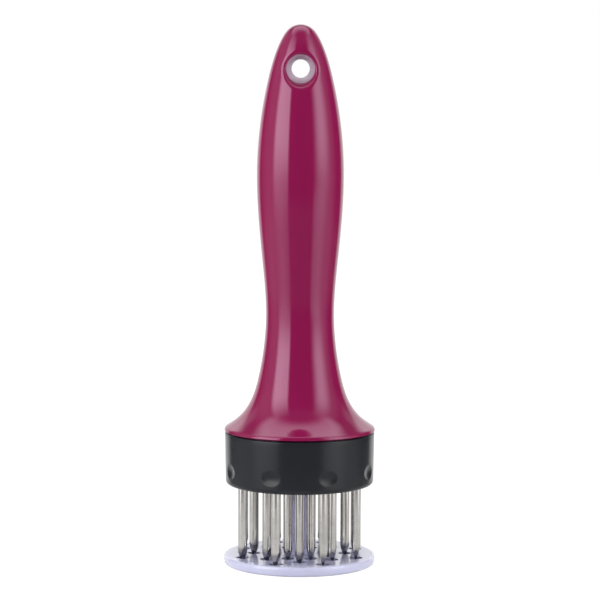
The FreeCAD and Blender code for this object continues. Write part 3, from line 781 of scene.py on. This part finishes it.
    def build(self) -> bpy.types.Object:
        """The whole moulding as one closed skin."""
        outline = np.concatenate([self.skirt(), self.outline(), self.nose_arc()])
        outline[-1, 0] = 0.0
        skirt_rows = len(self.skirt())
        low = self.hole_height - self.patch_reach
        high = self.hole_height + self.patch_reach
        rows = np.linspace(low, high, self.patch_rows + 1)
        band = np.stack([self.radius_at(rows), rows], axis=-1)
        outer = outline[skirt_rows:]
        below = np.concatenate([outline[:skirt_rows], outer[outer[:, 1] < low], band[:1]])
        above = np.concatenate([band[-1:], outer[outer[:, 1] > high]])
        skin = Skin("grip")
        skin.add(turned(below))
        skin.add(turned(above))
        half = self.patch_columns // 2
        between = AROUND // 2 - self.patch_columns
        for side, centre_column in ((-1, FRONT_COLUMN), (1, AROUND // 4)):
            skin.add(self.hole_patch(side, low, high, rows))
            skin.add(turned(band, centre_column + half, between))
        return skin.build()

    def dress(self) -> None:
        """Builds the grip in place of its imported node."""
        dress(self.build(), Body.HANDLE, Slot.HANDLE_PLASTIC, GRIP_PLASTIC, "handle_shell")


@dataclass(frozen=True)
class NeedleSpot:
    """Where a needle stands."""

    node: str
    across: float
    depth: float
    ring: int

    def column(self) -> int:
        """The needle's column on the shared angular grid."""
        return round(math.atan2(self.depth, self.across) / FULL_TURN * AROUND) % AROUND


def needle_spots() -> list[NeedleSpot]:
    """Every needle's place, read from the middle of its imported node."""
    spots = []
    for ring, name in enumerate(("inner", "middle", "outer")):
        for index in range(1, 9):
            node = f"needle_{name}_{index}"
            low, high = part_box(node)
            spots.append(NeedleSpot(node, (low.x + high.x) / 2, (low.y + high.y) / 2, ring))
    return spots


@dataclass
class HoledDisc:
    """A disc's two faces, with a hole at every needle."""

    ring_bounds: tuple[float, float, float, float]
    rows_per_ring: int = 6
    steps: int = 5
    crowding: float = 1.3

    def cells(self, wall: Array) -> list[Array]:
        """One grid per needle: face, hole wall and far face.

        The border of a ring-shaped cell is joined to a circle round the needle by straight rays.
        The wall's profile is carried round the circle.

        Args:
            wall: Distance from the needle's middle and height of each point of the hole's wall.

        Returns:
            Grids of points, each of shape (rows, rays, 3).
        """
        along, rise = cell_border(NEEDLE_PITCH, self.rows_per_ring)
        share = np.linspace(0, 1, self.steps + 1) ** self.crowding
        grids = []
        for spot in needle_spots():
            radii = np.linspace(self.ring_bounds[spot.ring], self.ring_bounds[spot.ring + 1],
                                self.rows_per_ring + 1)
            angle = column_angles(spot.column() - NEEDLE_PITCH // 2 + along)
            border = np.stack([radii[rise] * np.cos(angle), radii[rise] * np.sin(angle)], axis=-1)
            centre = np.array([spot.across, spot.depth])
            ray = border - centre
            ray /= np.linalg.norm(ray, axis=1, keepdims=True)
            ring = centre + ray * wall[:, :1, None]
            near = eased(border, ring[0], share)[:-1]
            far = eased(ring[-1], border, 1 - share[::-1])[1:]
            level = np.concatenate([np.full(self.steps, wall[0, 1]), wall[:, 1],
                                    np.full(self.steps, wall[-1, 1])])
            flat = np.concatenate([near, ring, far])
            height = np.broadcast_to(level[:, None], flat.shape[:2])
            grids.append(np.concatenate([flat, height[..., None]], axis=-1))
        return grids


@dataclass
class FingerRecess:
    """The shallow oval dish that repeats round the cup's side."""

    depth: float = 0.5 * MM
    half_width: float = 3.4 * MM
    half_height: float = 2.6 * MM
    base_height: float = 3.0 * MM
    edge_round: float = 0.12 * MM
    half_columns: int = 7
    rows: int = 18
    halvings: int = 40
    outer_steps: tuple[float, ...] = (0, 0.4, 0.7, 0.85, 0.93, 0.97, 1)
    inner_steps: tuple[float, ...] = (0.03, 0.07, 0.13, 0.22, 0.34, 0.48, 0.64, 0.82, 1)

    def cut(self, base_radius: float, base: float, angle: Array, height: Array) -> Array:
        """Radius at which a level line from the main axis first meets the dish's floor.

        The floor lies at the distance k + c x^2 from the main axis, where x runs across the dish,
        k grows with the square of the rise from the middle and c is what is left of the dish's
        fall at its side once the cup's own curve is taken off. A line at the angle a meets it at
        2 k / (cos a + sqrt(cos^2 a - 4 c k sin^2 a)).

        Args:
            base_radius: Radius of the cup's side at its base.
            base: Height of the cup's base.
            angle: Angle from the dish's middle.
            height: Height of each point.

        Returns:
            The radius for each point.
        """
        rise = height - (base + self.base_height + self.half_height)
        least = base_radius - self.depth + self.depth * (rise / self.half_height) ** 2
        curve = self.depth / self.half_width ** 2 - 0.5 / base_radius
        left = np.cos(angle) ** 2 - 4 * curve * least * np.sin(angle) ** 2
        return 2 * least / (np.cos(angle) + np.sqrt(np.maximum(left, 0)))

    def softened(self, wall: Array, floor: Array) -> Array:
        """The lower of two radii, with the crease between them rounded over the edge round's width."""
        near = np.maximum(self.edge_round - np.abs(wall - floor), 0) / self.edge_round
        return np.minimum(wall, floor) - near ** 2 * self.edge_round / 4

    def grid(self, column: int, side: Callable[[Array], Array], base_radius: float, base: float,
             rows: Array) -> Array:
        """The cup's surface in a rectangle round one recess.

        Rays run straight in angle and height from the rectangle's border to the recess's lip, which
        is found by halving, and on to its middle. Their points crowd towards the lip.

        Args:
            column: Column of the recess's middle.
            side: Radius of the cup's side at a height.
            base_radius: Radius of the cup's side at its base.
            base: Height of the cup's base.
            rows: Heights of the rectangle's rows.

        Returns:
            Grid of points, shape (steps, rays, 3).
        """
        along, rise = cell_border(2 * self.half_columns, len(rows) - 1)
        angle = (along - self.half_columns) * FULL_TURN / AROUND
        border = np.stack([angle, rows[rise]], axis=-1)
        middle = np.array([0.0, base + self.base_height + self.half_height])
        near, far = np.zeros(len(angle)), np.ones(len(angle))
        for _ in range(self.halvings):
            share = (near + far) / 2
            point = middle + (border - middle) * share[:, None]
            inside = self.cut(base_radius, base, point[:, 0], point[:, 1]) < side(point[:, 1])
            near = np.where(inside, share, near)
            far = np.where(inside, far, share)
        lip = middle + (border - middle) * near[:, None]
        outside = eased(border, lip, np.array(self.outer_steps))
        within = eased(lip, np.broadcast_to(middle, lip.shape), np.array(self.inner_steps))
        place = np.concatenate([outside, within])
        at_angle, height = place[..., 0], place[..., 1]
        wall = side(height)
        floor = self.cut(base_radius, base, at_angle, height)
        radius = self.softened(wall, floor)
        turned_angle = at_angle + column_angles(np.array(column))
        turned_angle[0] = column_angles(column - self.half_columns + along)
        radius[0] = side(rows[rise])
        return np.stack([radius * np.cos(turned_angle), radius * np.sin(turned_angle), height], axis=-1)


@dataclass
class NeedleHead:
    """The black cup, its needles and the parts that it hides."""

    base: float
    top: float
    radius: float
    floor_top: float
    needle_tip: float
    needle_shoulder: float
    draft: float = 0.3 * MM
    wall: float = 2.4 * MM
    base_round: float = 1.5 * MM
    rim_round: float = 0.4 * MM
    bush_hole: float = 6.25 * MM
    needle_radius: float = 1.7 * MM
    needle_head_radius: float = 2.3 * MM
    needle_fit: float = 0.03 * MM
    grind_length: float = 5.6 * MM
    grind_edge: float = 0.16 * MM
    side_grind_length: float = 4.2 * MM
    side_grind_edge: float = 1.3 * MM
    plane_spans: int = 3
    arc_spans: int = 6
    tip_crease: float = math.radians(14)
    recess_band: tuple[float, float] = (1.9 * MM, 12.4 * MM)
    recess: FingerRecess = field(default_factory=FingerRecess)
    disc: HoledDisc = field(default_factory=lambda: HoledDisc(
        (8.4 * MM, 14.08 * MM, 19.83 * MM, 25.2 * MM)))

    def side(self, height: Array) -> Array:
        """Radius of the cup's drafted side at a height, straight between its two rounds."""
        low, high = self.base + self.base_round, self.top - self.rim_round
        share = (np.asarray(height) - low) / (high - low)
        return self.radius - self.draft * (1 - share)

    def cup(self) -> bpy.types.Object:
        """The cup as one closed skin, with its recesses and needle holes."""
        base_radius = self.radius - self.draft
        inner = self.radius - self.wall
        rows = self.base + np.linspace(*self.recess_band, self.recess.rows + 1)
        bounds = self.disc.ring_bounds
        foot = rounded_profile([
            (bounds[-1], self.base, 0.0),
            (base_radius, self.base, self.base_round),
            (float(self.side(rows[0])), float(rows[0]), 0.0),
        ])
        lip = rounded_profile([
            (float(self.side(rows[-1])), float(rows[-1]), 0.0),
            (self.radius, self.top, self.rim_round),
            (inner, self.top, 0.15 * MM),
            (inner, self.floor_top, 0.3 * MM),
            (bounds[-1], self.floor_top, 0.0),
        ])
        skin = Skin("needle_cup")
        skin.add(turned(spaced(foot, 2 * MM)))
        skin.add(turned(spaced(lip, 2 * MM)))
        centre = rounded_profile([
            (bounds[0], self.floor_top, 0.0),
            (self.bush_hole, self.floor_top, 0.1 * MM),
            (self.bush_hole, self.base, 0.2 * MM),
            (bounds[0], self.base, 0.0),
        ])
        skin.add(turned(centre))
        band = np.stack([self.side(rows), rows], axis=-1)
        gap = NEEDLE_PITCH - 2 * self.recess.half_columns
        for index in range(AROUND // NEEDLE_PITCH):
            column = FRONT_COLUMN + NEEDLE_PITCH // 2 + index * NEEDLE_PITCH
            skin.add(self.recess.grid(column, self.side, base_radius, self.base, rows))
            skin.add(turned(band, column + self.recess.half_columns, gap))
        shank = self.needle_radius + self.needle_fit
        head = self.needle_head_radius + self.needle_fit
        wall = np.array([(shank, self.base), (shank, self.needle_shoulder), (head, self.needle_shoulder),
                         (head, self.floor_top)])
        for grid in self.disc.cells(wall):
            skin.add(grid)
        return skin.build()

    def section(self, height: Array) -> Array:
        """Cross-sections of a needle's ground tip, each with as many points.

        A section is a disc cut by two pairs of planes that part with the height. In each quarter
        it is a stretch of one plane, an arc of the disc and a stretch of the other plane.

        Args:
            height: Heights above the tip, shape (m,).

        Returns:
            Points across and along the edge, shape (m, 8 plane spans + 4 arc spans + 1, 2).
        """
        radius = self.needle_radius
        thin, wide = (np.minimum(edge / 2 + (radius - edge / 2) * height / length, radius)[:, None]
                      for edge, length in ((self.grind_edge, self.grind_length),
                                           (self.side_grind_edge, self.side_grind_length)))
        rise = np.minimum(thin, np.sqrt(np.maximum(radius ** 2 - wide ** 2, 0)))
        run = np.minimum(wide, np.sqrt(np.maximum(radius ** 2 - thin ** 2, 0)))
        first, last = np.arctan2(rise, wide), np.arctan2(thin, run)
        share = np.linspace(0, 1, self.plane_spans + 1)
        sweep = np.linspace(0, 1, self.arc_spans + 1)
        flat = (len(wide), self.plane_spans)
        bend = first + (last - first) * sweep
        reach = np.hypot(wide, rise) + (np.hypot(run, thin) - np.hypot(wide, rise)) * sweep
        quarter = np.concatenate([
            np.stack([np.broadcast_to(wide, flat), rise * share[:-1]], axis=-1),
            np.stack([reach * np.cos(bend), reach * np.sin(bend)], axis=-1),
            np.stack([run * (1 - share[1:]), np.broadcast_to(thin, flat)], axis=-1),
        ], axis=1)
        second = quarter[:, ::-1] * np.array([-1.0, 1.0])
        half = np.concatenate([quarter, second[:, 1:]], axis=1)
        return np.concatenate([half, -half[:, 1:]], axis=1)

    def needle(self, spot: NeedleSpot, turn: float) -> bpy.types.Object:
        """One needle with its ground tip, shank and upset head."""
        grind = np.linspace(0, self.grind_length, 15)
        tip = self.section(grind)
        circle = tip[-1]
        shank_heights = np.linspace(self.needle_tip + self.grind_length, self.needle_shoulder, 7)[1:]
        head = circle * (self.needle_head_radius / self.needle_radius)
        heights = np.concatenate([self.needle_tip + grind[:1], self.needle_tip + grind, shank_heights,
                                  [self.needle_shoulder, self.floor_top, self.floor_top]])
        rows = np.concatenate([tip[:1] * 0, tip, np.repeat(circle[None], len(shank_heights), axis=0),
                               head[None], head[None], head[None] * 0])
        cosine, sine = math.cos(turn), math.sin(turn)
        across = spot.across + rows[..., 0] * cosine - rows[..., 1] * sine
        depth = spot.depth + rows[..., 0] * sine + rows[..., 1] * cosine
        height = np.broadcast_to(heights[:, None], across.shape)
        skin = Skin(spot.node.replace("needle", "blade"))
        skin.add(np.stack([across, depth, height], axis=-1))
        return skin.build(self.tip_crease)

    def dress(self) -> None:
        """Builds the cup and the needles in place of their imported nodes."""
        dress(self.cup(), Body.HEAD, Slot.BLACK_PLASTIC, CUP_PLASTIC, "needle_head")
        for spot in needle_spots():
            piece = self.needle(spot, needle_turn(spot.node))
            dress(piece, Body.HEAD, Slot.NEEDLE_STEEL, NEEDLE_STEEL, spot.node)


def needle_turn(node: str) -> float:
    """How far a needle was turned when it was pressed in.

    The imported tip's lowest corners lie along its edge, so the direction between the two that are
    furthest apart gives the turn.

    Args:
        node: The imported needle's name.

    Returns:
        The angle of its edge from +X.
    """
    points = vertices_of(frame["nodes"][node].data)
    tip = points[points[:, 2] < points[:, 2].min() + 0.01 * MM, :2]
    spread = tip - tip.mean(axis=0)
    _, _, directions = np.linalg.svd(spread, full_matrices=False)
    return math.atan2(directions[0, 1], directions[0, 0])


@dataclass
class Guard:
    """The clear guard plate with its column."""

    radius: float
    column_top: float
    thickness: float = 3.5 * MM
    edge_round: float = 1.0 * MM
    column_radius: float = 4.5 * MM
    root_round: float = 0.5 * MM
    hole_radius: float = 2.3 * MM
    hole_rim: float = 0.18 * MM
    pilot_radius: float = 1.48 * MM
    pilot_depth: float = 10.6 * MM
    # Painted shade at the hole rims and along the lower outer edge: its darkest share, and the widths over which
    # it fades.
    rim_shade_share: float = 0.6
    rim_shade_fade: float = 0.288 * MM
    lower_shade_width: float = 1.1 * MM
    lower_shade_fade: float = 0.5 * MM
    disc: HoledDisc = field(default_factory=lambda: HoledDisc(
        (8.4 * MM, 14.08 * MM, 19.83 * MM, 25.6 * MM)))

    def plate(self) -> bpy.types.Object:
        """The plate and its column as one closed skin."""
        bounds = self.disc.ring_bounds
        rim = rounded_profile([
            (bounds[-1], self.thickness, 0.0),
            (self.radius, self.thickness, self.edge_round),
            (self.radius, 0.0, self.edge_round),
            (bounds[-1], 0.0, 0.0),
        ], 10)
        column = rounded_profile([
            (bounds[0], self.thickness, 0.0),
            (self.column_radius, self.thickness, self.root_round),
            (self.column_radius, self.column_top, 0.2 * MM),
            (self.pilot_radius, self.column_top, 0.1 * MM),
            (self.pilot_radius, self.column_top - self.pilot_depth, 0.0),
            (0.0, self.column_top - self.pilot_depth, 0.0),
        ])
        underside = np.array([(bounds[0], 0.0), (bounds[0] / 2, 0.0), (0.0, 0.0)])
        skin = Skin("guard")
        skin.add(turned(rim))
        skin.add(turned(spaced(column, 6 * MM)))
        skin.add(turned(underside))
        turn = np.linspace(0, math.pi / 2, 5)
        upper = np.stack([self.hole_radius + self.hole_rim * (1 - np.sin(turn)),
                          self.thickness - self.hole_rim * (1 - np.cos(turn))], axis=-1)
        lower = upper[::-1] * np.array([1.0, -1.0]) + np.array([0.0, self.thickness])
        for grid in self.disc.cells(np.concatenate([upper, lower])):
            skin.add(grid)
        return skin.build()

    def paint_edge_shade(self, piece: bpy.types.Object) -> None:
        """Stores how much painted shade the plastic's colour takes at each point: dark lines painted where the
        edges bend light away.

        The share falls evenly to none beside a hole's wall and up the outer edge's round.
        """
        points = vertices_of(piece.data)
        middles = np.array([(spot.across, spot.depth) for spot in needle_spots()])
        nearest = np.linalg.norm(points[:, None, :2] - middles, axis=2).min(axis=1)
        rim_shade = self.rim_shade_share * (1 - np.clip((nearest - self.hole_radius) / self.rim_shade_fade, 0, 1))
        outer = np.hypot(points[:, 0], points[:, 1]) > self.radius - self.lower_shade_width
        lower = outer * (1 - np.clip(points[:, 2] / self.lower_shade_fade, 0, 1))
        share = piece.data.attributes.new(PAINTED_EDGE_SHADE, "FLOAT", "POINT")
        share.data.foreach_set("value", np.maximum(rim_shade, lower).astype(np.float32))

    def dress(self) -> None:
        """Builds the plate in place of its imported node."""
        plate = self.plate()
        self.paint_edge_shade(plate)
        dress(plate, Body.GUARD, Slot.CLEAR_PLASTIC, GUARD_PLASTIC, "guard_plate")


@dataclass
class ReturnSpring:
    """The compression spring in the grip's bore."""

    base: float
    top: float
    travel: float
    wire: float = 0.5 * MM
    coil_radius: float = 6.0 * MM
    active_turns: int = 6
    coil_gap: float = 0.02 * MM
    ground_off: float = 0.3 * MM

    def coil(self) -> bpy.types.Object:
        """Round wire carried along a helix with a closed turn at each end, ground flat.

        The helix rises by a wire and a gap in each end turn and evenly between. A section of the
        wire stands on it, square to its direction, and heights are held between the ground ends.
        """
        closed = 2 * self.wire + self.coil_gap
        low = self.base + self.wire - self.ground_off
        high = self.top - self.wire + self.ground_off
        turns = np.linspace(0, self.active_turns + 2, (self.active_turns + 2) * 48 + 1)
        height = np.interp(turns, [0, 1, self.active_turns + 1, self.active_turns + 2],
                           [low, low + closed, high - closed, high])
        angle = turns * FULL_TURN
        slope = np.gradient(height, angle)
        length = np.hypot(self.coil_radius, slope)
        outward = np.stack([np.cos(angle), np.sin(angle), np.zeros_like(angle)], axis=-1)
        rising = np.stack([np.sin(angle) * slope, -np.cos(angle) * slope,
                           np.full_like(angle, self.coil_radius)], axis=-1) / length[:, None]
        middle = outward * self.coil_radius
        middle[:, 2] = height
        around = np.linspace(0, FULL_TURN, 17)
        around[-1] = 0.0
        tube = (middle[:, None] + self.wire * (np.cos(around)[None, :, None] * outward[:, None]
                                               + np.sin(around)[None, :, None] * rising[:, None]))
        caps = [np.broadcast_to(middle[end], tube[0].shape)[None] for end in (0, -1)]
        tube = np.concatenate([caps[0], tube, caps[1]])
        tube[..., 2] = np.clip(tube[..., 2], self.base, self.top)
        skin = Skin("spring_coil")
        skin.add(tube)
        return skin.build()

    def dress(self) -> None:
        """Builds the spring, with a mesh of its own."""
        piece = self.coil()
        dress(piece, Body.HANDLE, Slot.SPRING_STEEL, SPRING_STEEL, "return_spring")
        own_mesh(piece)


@dataclass
class InnerParts:
    """The parts that the grip and the cup hide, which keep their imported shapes."""

    finishes: dict[str, tuple[Slot, Finish]] = field(default_factory=lambda: {
        "spring_seat": (Slot.WHITE_ACETAL, ACETAL),
        "guide_bush": (Slot.WHITE_ACETAL, ACETAL),
        "backing_plate": (Slot.PLATE_STEEL, PLATE_STEEL),
        "backing_screws": (Slot.SCREW_STEEL, SCREW_STEEL),
        "stop_washer": (Slot.PLATE_STEEL, PLATE_STEEL),
        "column_screw": (Slot.SCREW_STEEL, SCREW_STEEL),
    })

    def dress(self) -> None:
        """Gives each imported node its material."""
        for node, (slot, finish) in self.finishes.items():
            piece = frame["nodes"][node]
            piece.data.materials.clear()
            piece.data.materials.append(finish.material())
            log.info("%s: finished", node)


@dataclass(frozen=True)
class SoftBox:
    """A rectangular lamp that faces the object."""

    name: str
    azimuth: float
    elevation: float
    distance: float
    width: float
    tall: float
    radiance: float

    def hang(self, aim: Array) -> None:
        """Adds the lamp, as bright as its radiance. Gloss shows the painted panels in its place.

        Args:
            aim: The point that it faces.
        """
        lamp = bpy.data.lights.new(self.name, "AREA")
        lamp.shape = "RECTANGLE"
        lamp.size, lamp.size_y = self.width, self.tall
        lamp.energy = self.radiance * math.pi * self.width * self.tall
        holder = bpy.data.objects.new(self.name, lamp)
        azimuth, elevation = math.radians(self.azimuth), math.radians(self.elevation)
        away = np.array([math.sin(azimuth) * math.cos(elevation), -math.cos(azimuth) * math.cos(elevation),
                         math.sin(elevation)])
        holder.location = aim + away * self.distance
        holder.rotation_euler = (math.pi / 2 - elevation, 0.0, azimuth)
        holder.visible_camera = False
        holder.visible_glossy = False
        holder.visible_transmission = False
        bpy.context.scene.collection.objects.link(holder)


class Bearing(Enum):
    """Measures of a direction that a gloss panel's bounds are set in."""

    AZIMUTH = "degrees to the right of the front"
    ELEVATION = "degrees above the horizon"
    BACK = "sine of the angle to the back"
    UP = "sine of the elevation"


@dataclass(frozen=True)
class GlossPanel:
    """A patch of the surroundings with soft edges, as gloss shows it.

    Each bound gives a bearing and four values: where the patch begins, where it is full, where it
    starts to fade and where it ends. The patch is the product of its bounds and its level.
    """

    level: float
    bounds: tuple[tuple[Bearing, float, float, float, float], ...]

    def strength(self, graph: Graph, bearings: dict[Bearing, bpy.types.NodeSocket]) -> bpy.types.NodeSocket:
        """The patch's strength in every direction."""
        strength = self.level
        for bearing, begin, full, fade, end in self.bounds:
            rise = graph.ranged(bearings[bearing], begin, full, 0.0, 1.0, "SMOOTHSTEP")
            fall = graph.ranged(bearings[bearing], fade, end, 1.0, 0.0, "SMOOTHSTEP")
            strength = graph.maths("MULTIPLY", graph.maths("MULTIPLY", rise, fall), strength)
        return strength


AZIMUTH, ELEVATION, BACK, UP = Bearing
NO_END = (399.0, 400.0)
GLOSS_PANELS = (
    # The window on the left: its bright middle, then the dim wall round it
    GlossPanel(4.9, ((AZIMUTH, -82.0, -68.0, -36.0, -29.0), (ELEVATION, -14.0, 10.0, 22.0, 62.0))),
    GlossPanel(0.62, ((AZIMUTH, -136.0, -84.0, -60.0, -28.0), (ELEVATION, -70.0, -16.0, 48.0, 70.0))),
    # The window on the right, in the same way
    GlossPanel(3.5, ((AZIMUTH, 32.0, 56.0, 62.0, 92.0), (ELEVATION, -14.0, 10.0, 22.0, 62.0))),
    GlossPanel(0.62, ((AZIMUTH, 30.0, 60.0, 84.0, 114.0), (ELEVATION, -70.0, -16.0, 48.0, 70.0))),
    # Light that the table throws back under each window, and the table's dim front
    GlossPanel(0.75, ((AZIMUTH, -85.0, -52.0, -38.0, -29.0), (ELEVATION, -60.0, -20.0, -9.0, -3.0))),
    GlossPanel(1.0, ((AZIMUTH, 31.0, 41.0, 55.0, 85.0), (ELEVATION, -60.0, -20.0, -9.0, -3.0))),
    GlossPanel(0.15, ((ELEVATION, -91.0, -90.0, -11.0, -7.0),)),
    # The ceiling over the object, from its brightest part to its dim front
    GlossPanel(2.5, ((BACK, -0.36, 0.08, 0.5, 0.75), (UP, 0.72, 0.86, *NO_END))),
    GlossPanel(0.4, ((BACK, 0.3, 0.6, *NO_END), (UP, 0.3, 0.45, 0.54, 0.64))),
    GlossPanel(0.14, ((BACK, -0.1, 0.2, *NO_END), (UP, 0.15, 0.35, *NO_END))),
    GlossPanel(0.16, ((BACK, -0.8, -0.6, -0.3, 0.0), (UP, 0.68, 0.8, *NO_END))),
    # The backdrop
    GlossPanel(1.0, ((BACK, 0.66, 0.8, *NO_END),)),
)


@dataclass
class Studio:
    """Pale floor, white surroundings, soft lamps and the camera."""

    floor_rings: tuple[float, ...] = (0.0, 0.05, 0.15, 0.5, 1.5, 3.0)
    floor_drop: float = 0.02 * MM
    floor_white: float = 0.82
    shadow_share: float = 0.2
    glow_reach: tuple[float, float] = (0.05, 0.2)
    glow_levels: tuple[float, float] = (0.88, 1.0)
    camera_distance: float = 0.940
    camera_height: float = 0.192
    camera_pitch: float = math.radians(5.68)
    camera_roll: float = math.radians(-0.16)
    camera_yaw: float = math.radians(0.017)
    lens_pixels: float = 2552.06
    frame_pixels: float = 600.0
    sensor: float = 36.0
    shine: float = 0.85
    shine_reach: tuple[float, float] = (0.12, 0.22)
    room: float = 0.03
    ambient: float = 0.25
    lamp_aim: tuple[float, float, float] = (0.0, 0.0, 0.1)
    lamps: tuple[SoftBox, ...] = (
        SoftBox("left_softbox", -72.0, 8.0, 0.80, 0.78, 1.3, 3.5),
        SoftBox("right_softbox", 72.0, 8.0, 0.80, 0.78, 1.3, 2.9),
        SoftBox("top_softbox", 0.0, 62.0, 0.9, 0.9, 0.55, 1.0),
    )

    def camera(self) -> None:
        """The camera at the photograph's angle, for a square frame of 600 pixels."""
        lens = bpy.data.cameras.new("photo_view")
        lens.sensor_width = self.sensor
        lens.lens = self.sensor * self.lens_pixels / self.frame_pixels
        holder = bpy.data.objects.new("photo_view", lens)
        holder.location = (0.0, -self.camera_distance, self.camera_height)
        holder.rotation_euler = (math.pi / 2 - self.camera_pitch, self.camera_roll, self.camera_yaw)
        bpy.context.scene.collection.objects.link(holder)
        bpy.context.scene.camera = holder

    def floor(self) -> None:
        """A round floor that shows white, keeps the object's shadow and is clear from below."""
        radii = np.array(self.floor_rings)
        skin = Skin("floor")
        skin.add(turned(np.stack([radii, np.full_like(radii, -self.floor_drop)], axis=-1)))
        piece = skin.build()
        graph = Graph.of_material("white_floor")
        body = graph.set(graph.node("BsdfDiffuse"), Color=(*[self.floor_white] * 3, 1.0))
        away = graph.length(graph.place())
        glow = graph.set(graph.node("Emission"), Color=WHITE)
        graph.link(graph.ranged(away, *self.glow_reach, *self.glow_levels), glow.inputs["Strength"])
        faint = graph.set(graph.node("BsdfDiffuse"), Color=(*[self.shadow_share] * 3, 1.0))
        seen = graph.node("AddShader")
        graph.link(glow.outputs[0], seen.inputs[0])
        graph.link(faint.outputs[0], seen.inputs[1])
        plain = graph.mixed(graph.looked_at(), body, seen)
        beyond = graph.ranged(away, *self.shine_reach, 0.0, 1.0, "SMOOTHSTEP")
        shine = graph.set(graph.node("Emission"), Color=WHITE, Strength=self.shine)
        clear = graph.node("BsdfTransparent")
        glossy = graph.node("LightPath").outputs["Is Glossy Ray"]
        above = graph.mixed(glossy, plain, graph.mixed(beyond, shine, clear))
        towards = graph.split(graph.node("NewGeometry").outputs["Incoming"])
        below = graph.maths("LESS_THAN", towards[2], 0.0)
        piece.data.materials.append(graph.surface(graph.mixed(below, above, clear)))

    def surroundings(self) -> None:
        """White for the camera, soft panels in a dark room for gloss, and a low level for the rest."""
        world = bpy.data.worlds.new("studio")
        bpy.context.scene.world = world
        graph = Graph(world)
        across, back, up = graph.split(graph.node("TexCoord").outputs["Generated"])
        turn = graph.maths("ARCTAN2", across, graph.maths("MULTIPLY", back, -1.0))
        bearings = {
            AZIMUTH: graph.maths("DEGREES", turn),
            ELEVATION: graph.maths("DEGREES", graph.maths("ARCSINE", up)),
            BACK: back,
            UP: up,
        }
        room = self.room
        for panel in GLOSS_PANELS:
            room = graph.maths("ADD", panel.strength(graph, bearings), room)
        glossy = graph.node("LightPath").outputs["Is Glossy Ray"]
        beyond_ambient = graph.maths("SUBTRACT", room, self.ambient)
        unseen = graph.maths("MULTIPLY_ADD", glossy, beyond_ambient, self.ambient)
        level = graph.maths("MULTIPLY_ADD", graph.looked_at(), graph.maths("SUBTRACT", 1.0, unseen), unseen)
        background = graph.set(graph.node("Background"), Color=WHITE)
        graph.link(level, background.inputs["Strength"])
        graph.surface(background)

    def build(self) -> None:
        """Sets the whole studio up."""
        bpy.context.scene.view_settings.view_transform = "Standard"
        self.camera()
        self.floor()
        self.surroundings()
        for lamp in self.lamps:
            lamp.hang(np.array(self.lamp_aim))


def main() -> None:
    """Builds every sub-assembly from the frame's sizes, then the studio."""
    logging.basicConfig(level=logging.INFO, format="%(name)s: %(message)s")
    mount = frame["record"]["mounts"][0]
    shell_low, shell_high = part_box("handle_shell")
    cup_low, cup_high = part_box("needle_head")
    guard_low, guard_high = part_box("guard_plate")
    needle_low, needle_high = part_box("needle_inner_1")
    spring_low, spring_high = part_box("return_spring")
    seat_low, seat_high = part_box("spring_seat")
    slide = next(joint for joint in frame["joints"] if joint["name"] == "guard_slide")
    Grip(
        flange_radius=shell_high.x,
        flange_base=cup_high.z + FLANGE_GAP,
        top=shell_high.z,
        hole_height=mount["pos_m"][2],
        hole_radius=mount["dims"]["r_mm"] * MM,
        hole_land=mount["dims"]["length_mm"] * MM,
        spigot_base=shell_low.z,
        seat_top=seat_high.z - SEAT_PLUG_LENGTH,
    ).dress()
    NeedleHead(
        base=cup_low.z,
        top=cup_high.z,
        radius=cup_high.x,
        floor_top=needle_high.z,
        needle_tip=needle_low.z,
        needle_shoulder=needle_high.z - NEEDLE_HEAD_HEIGHT,
    ).dress()
    Guard(radius=guard_high.x, column_top=guard_high.z).dress()
    ReturnSpring(base=spring_low.z, top=spring_high.z, travel=slide["range_m"][1]).dress()
    InnerParts().dress()
    Studio().build()


if __name__ == "__main__":
    main()
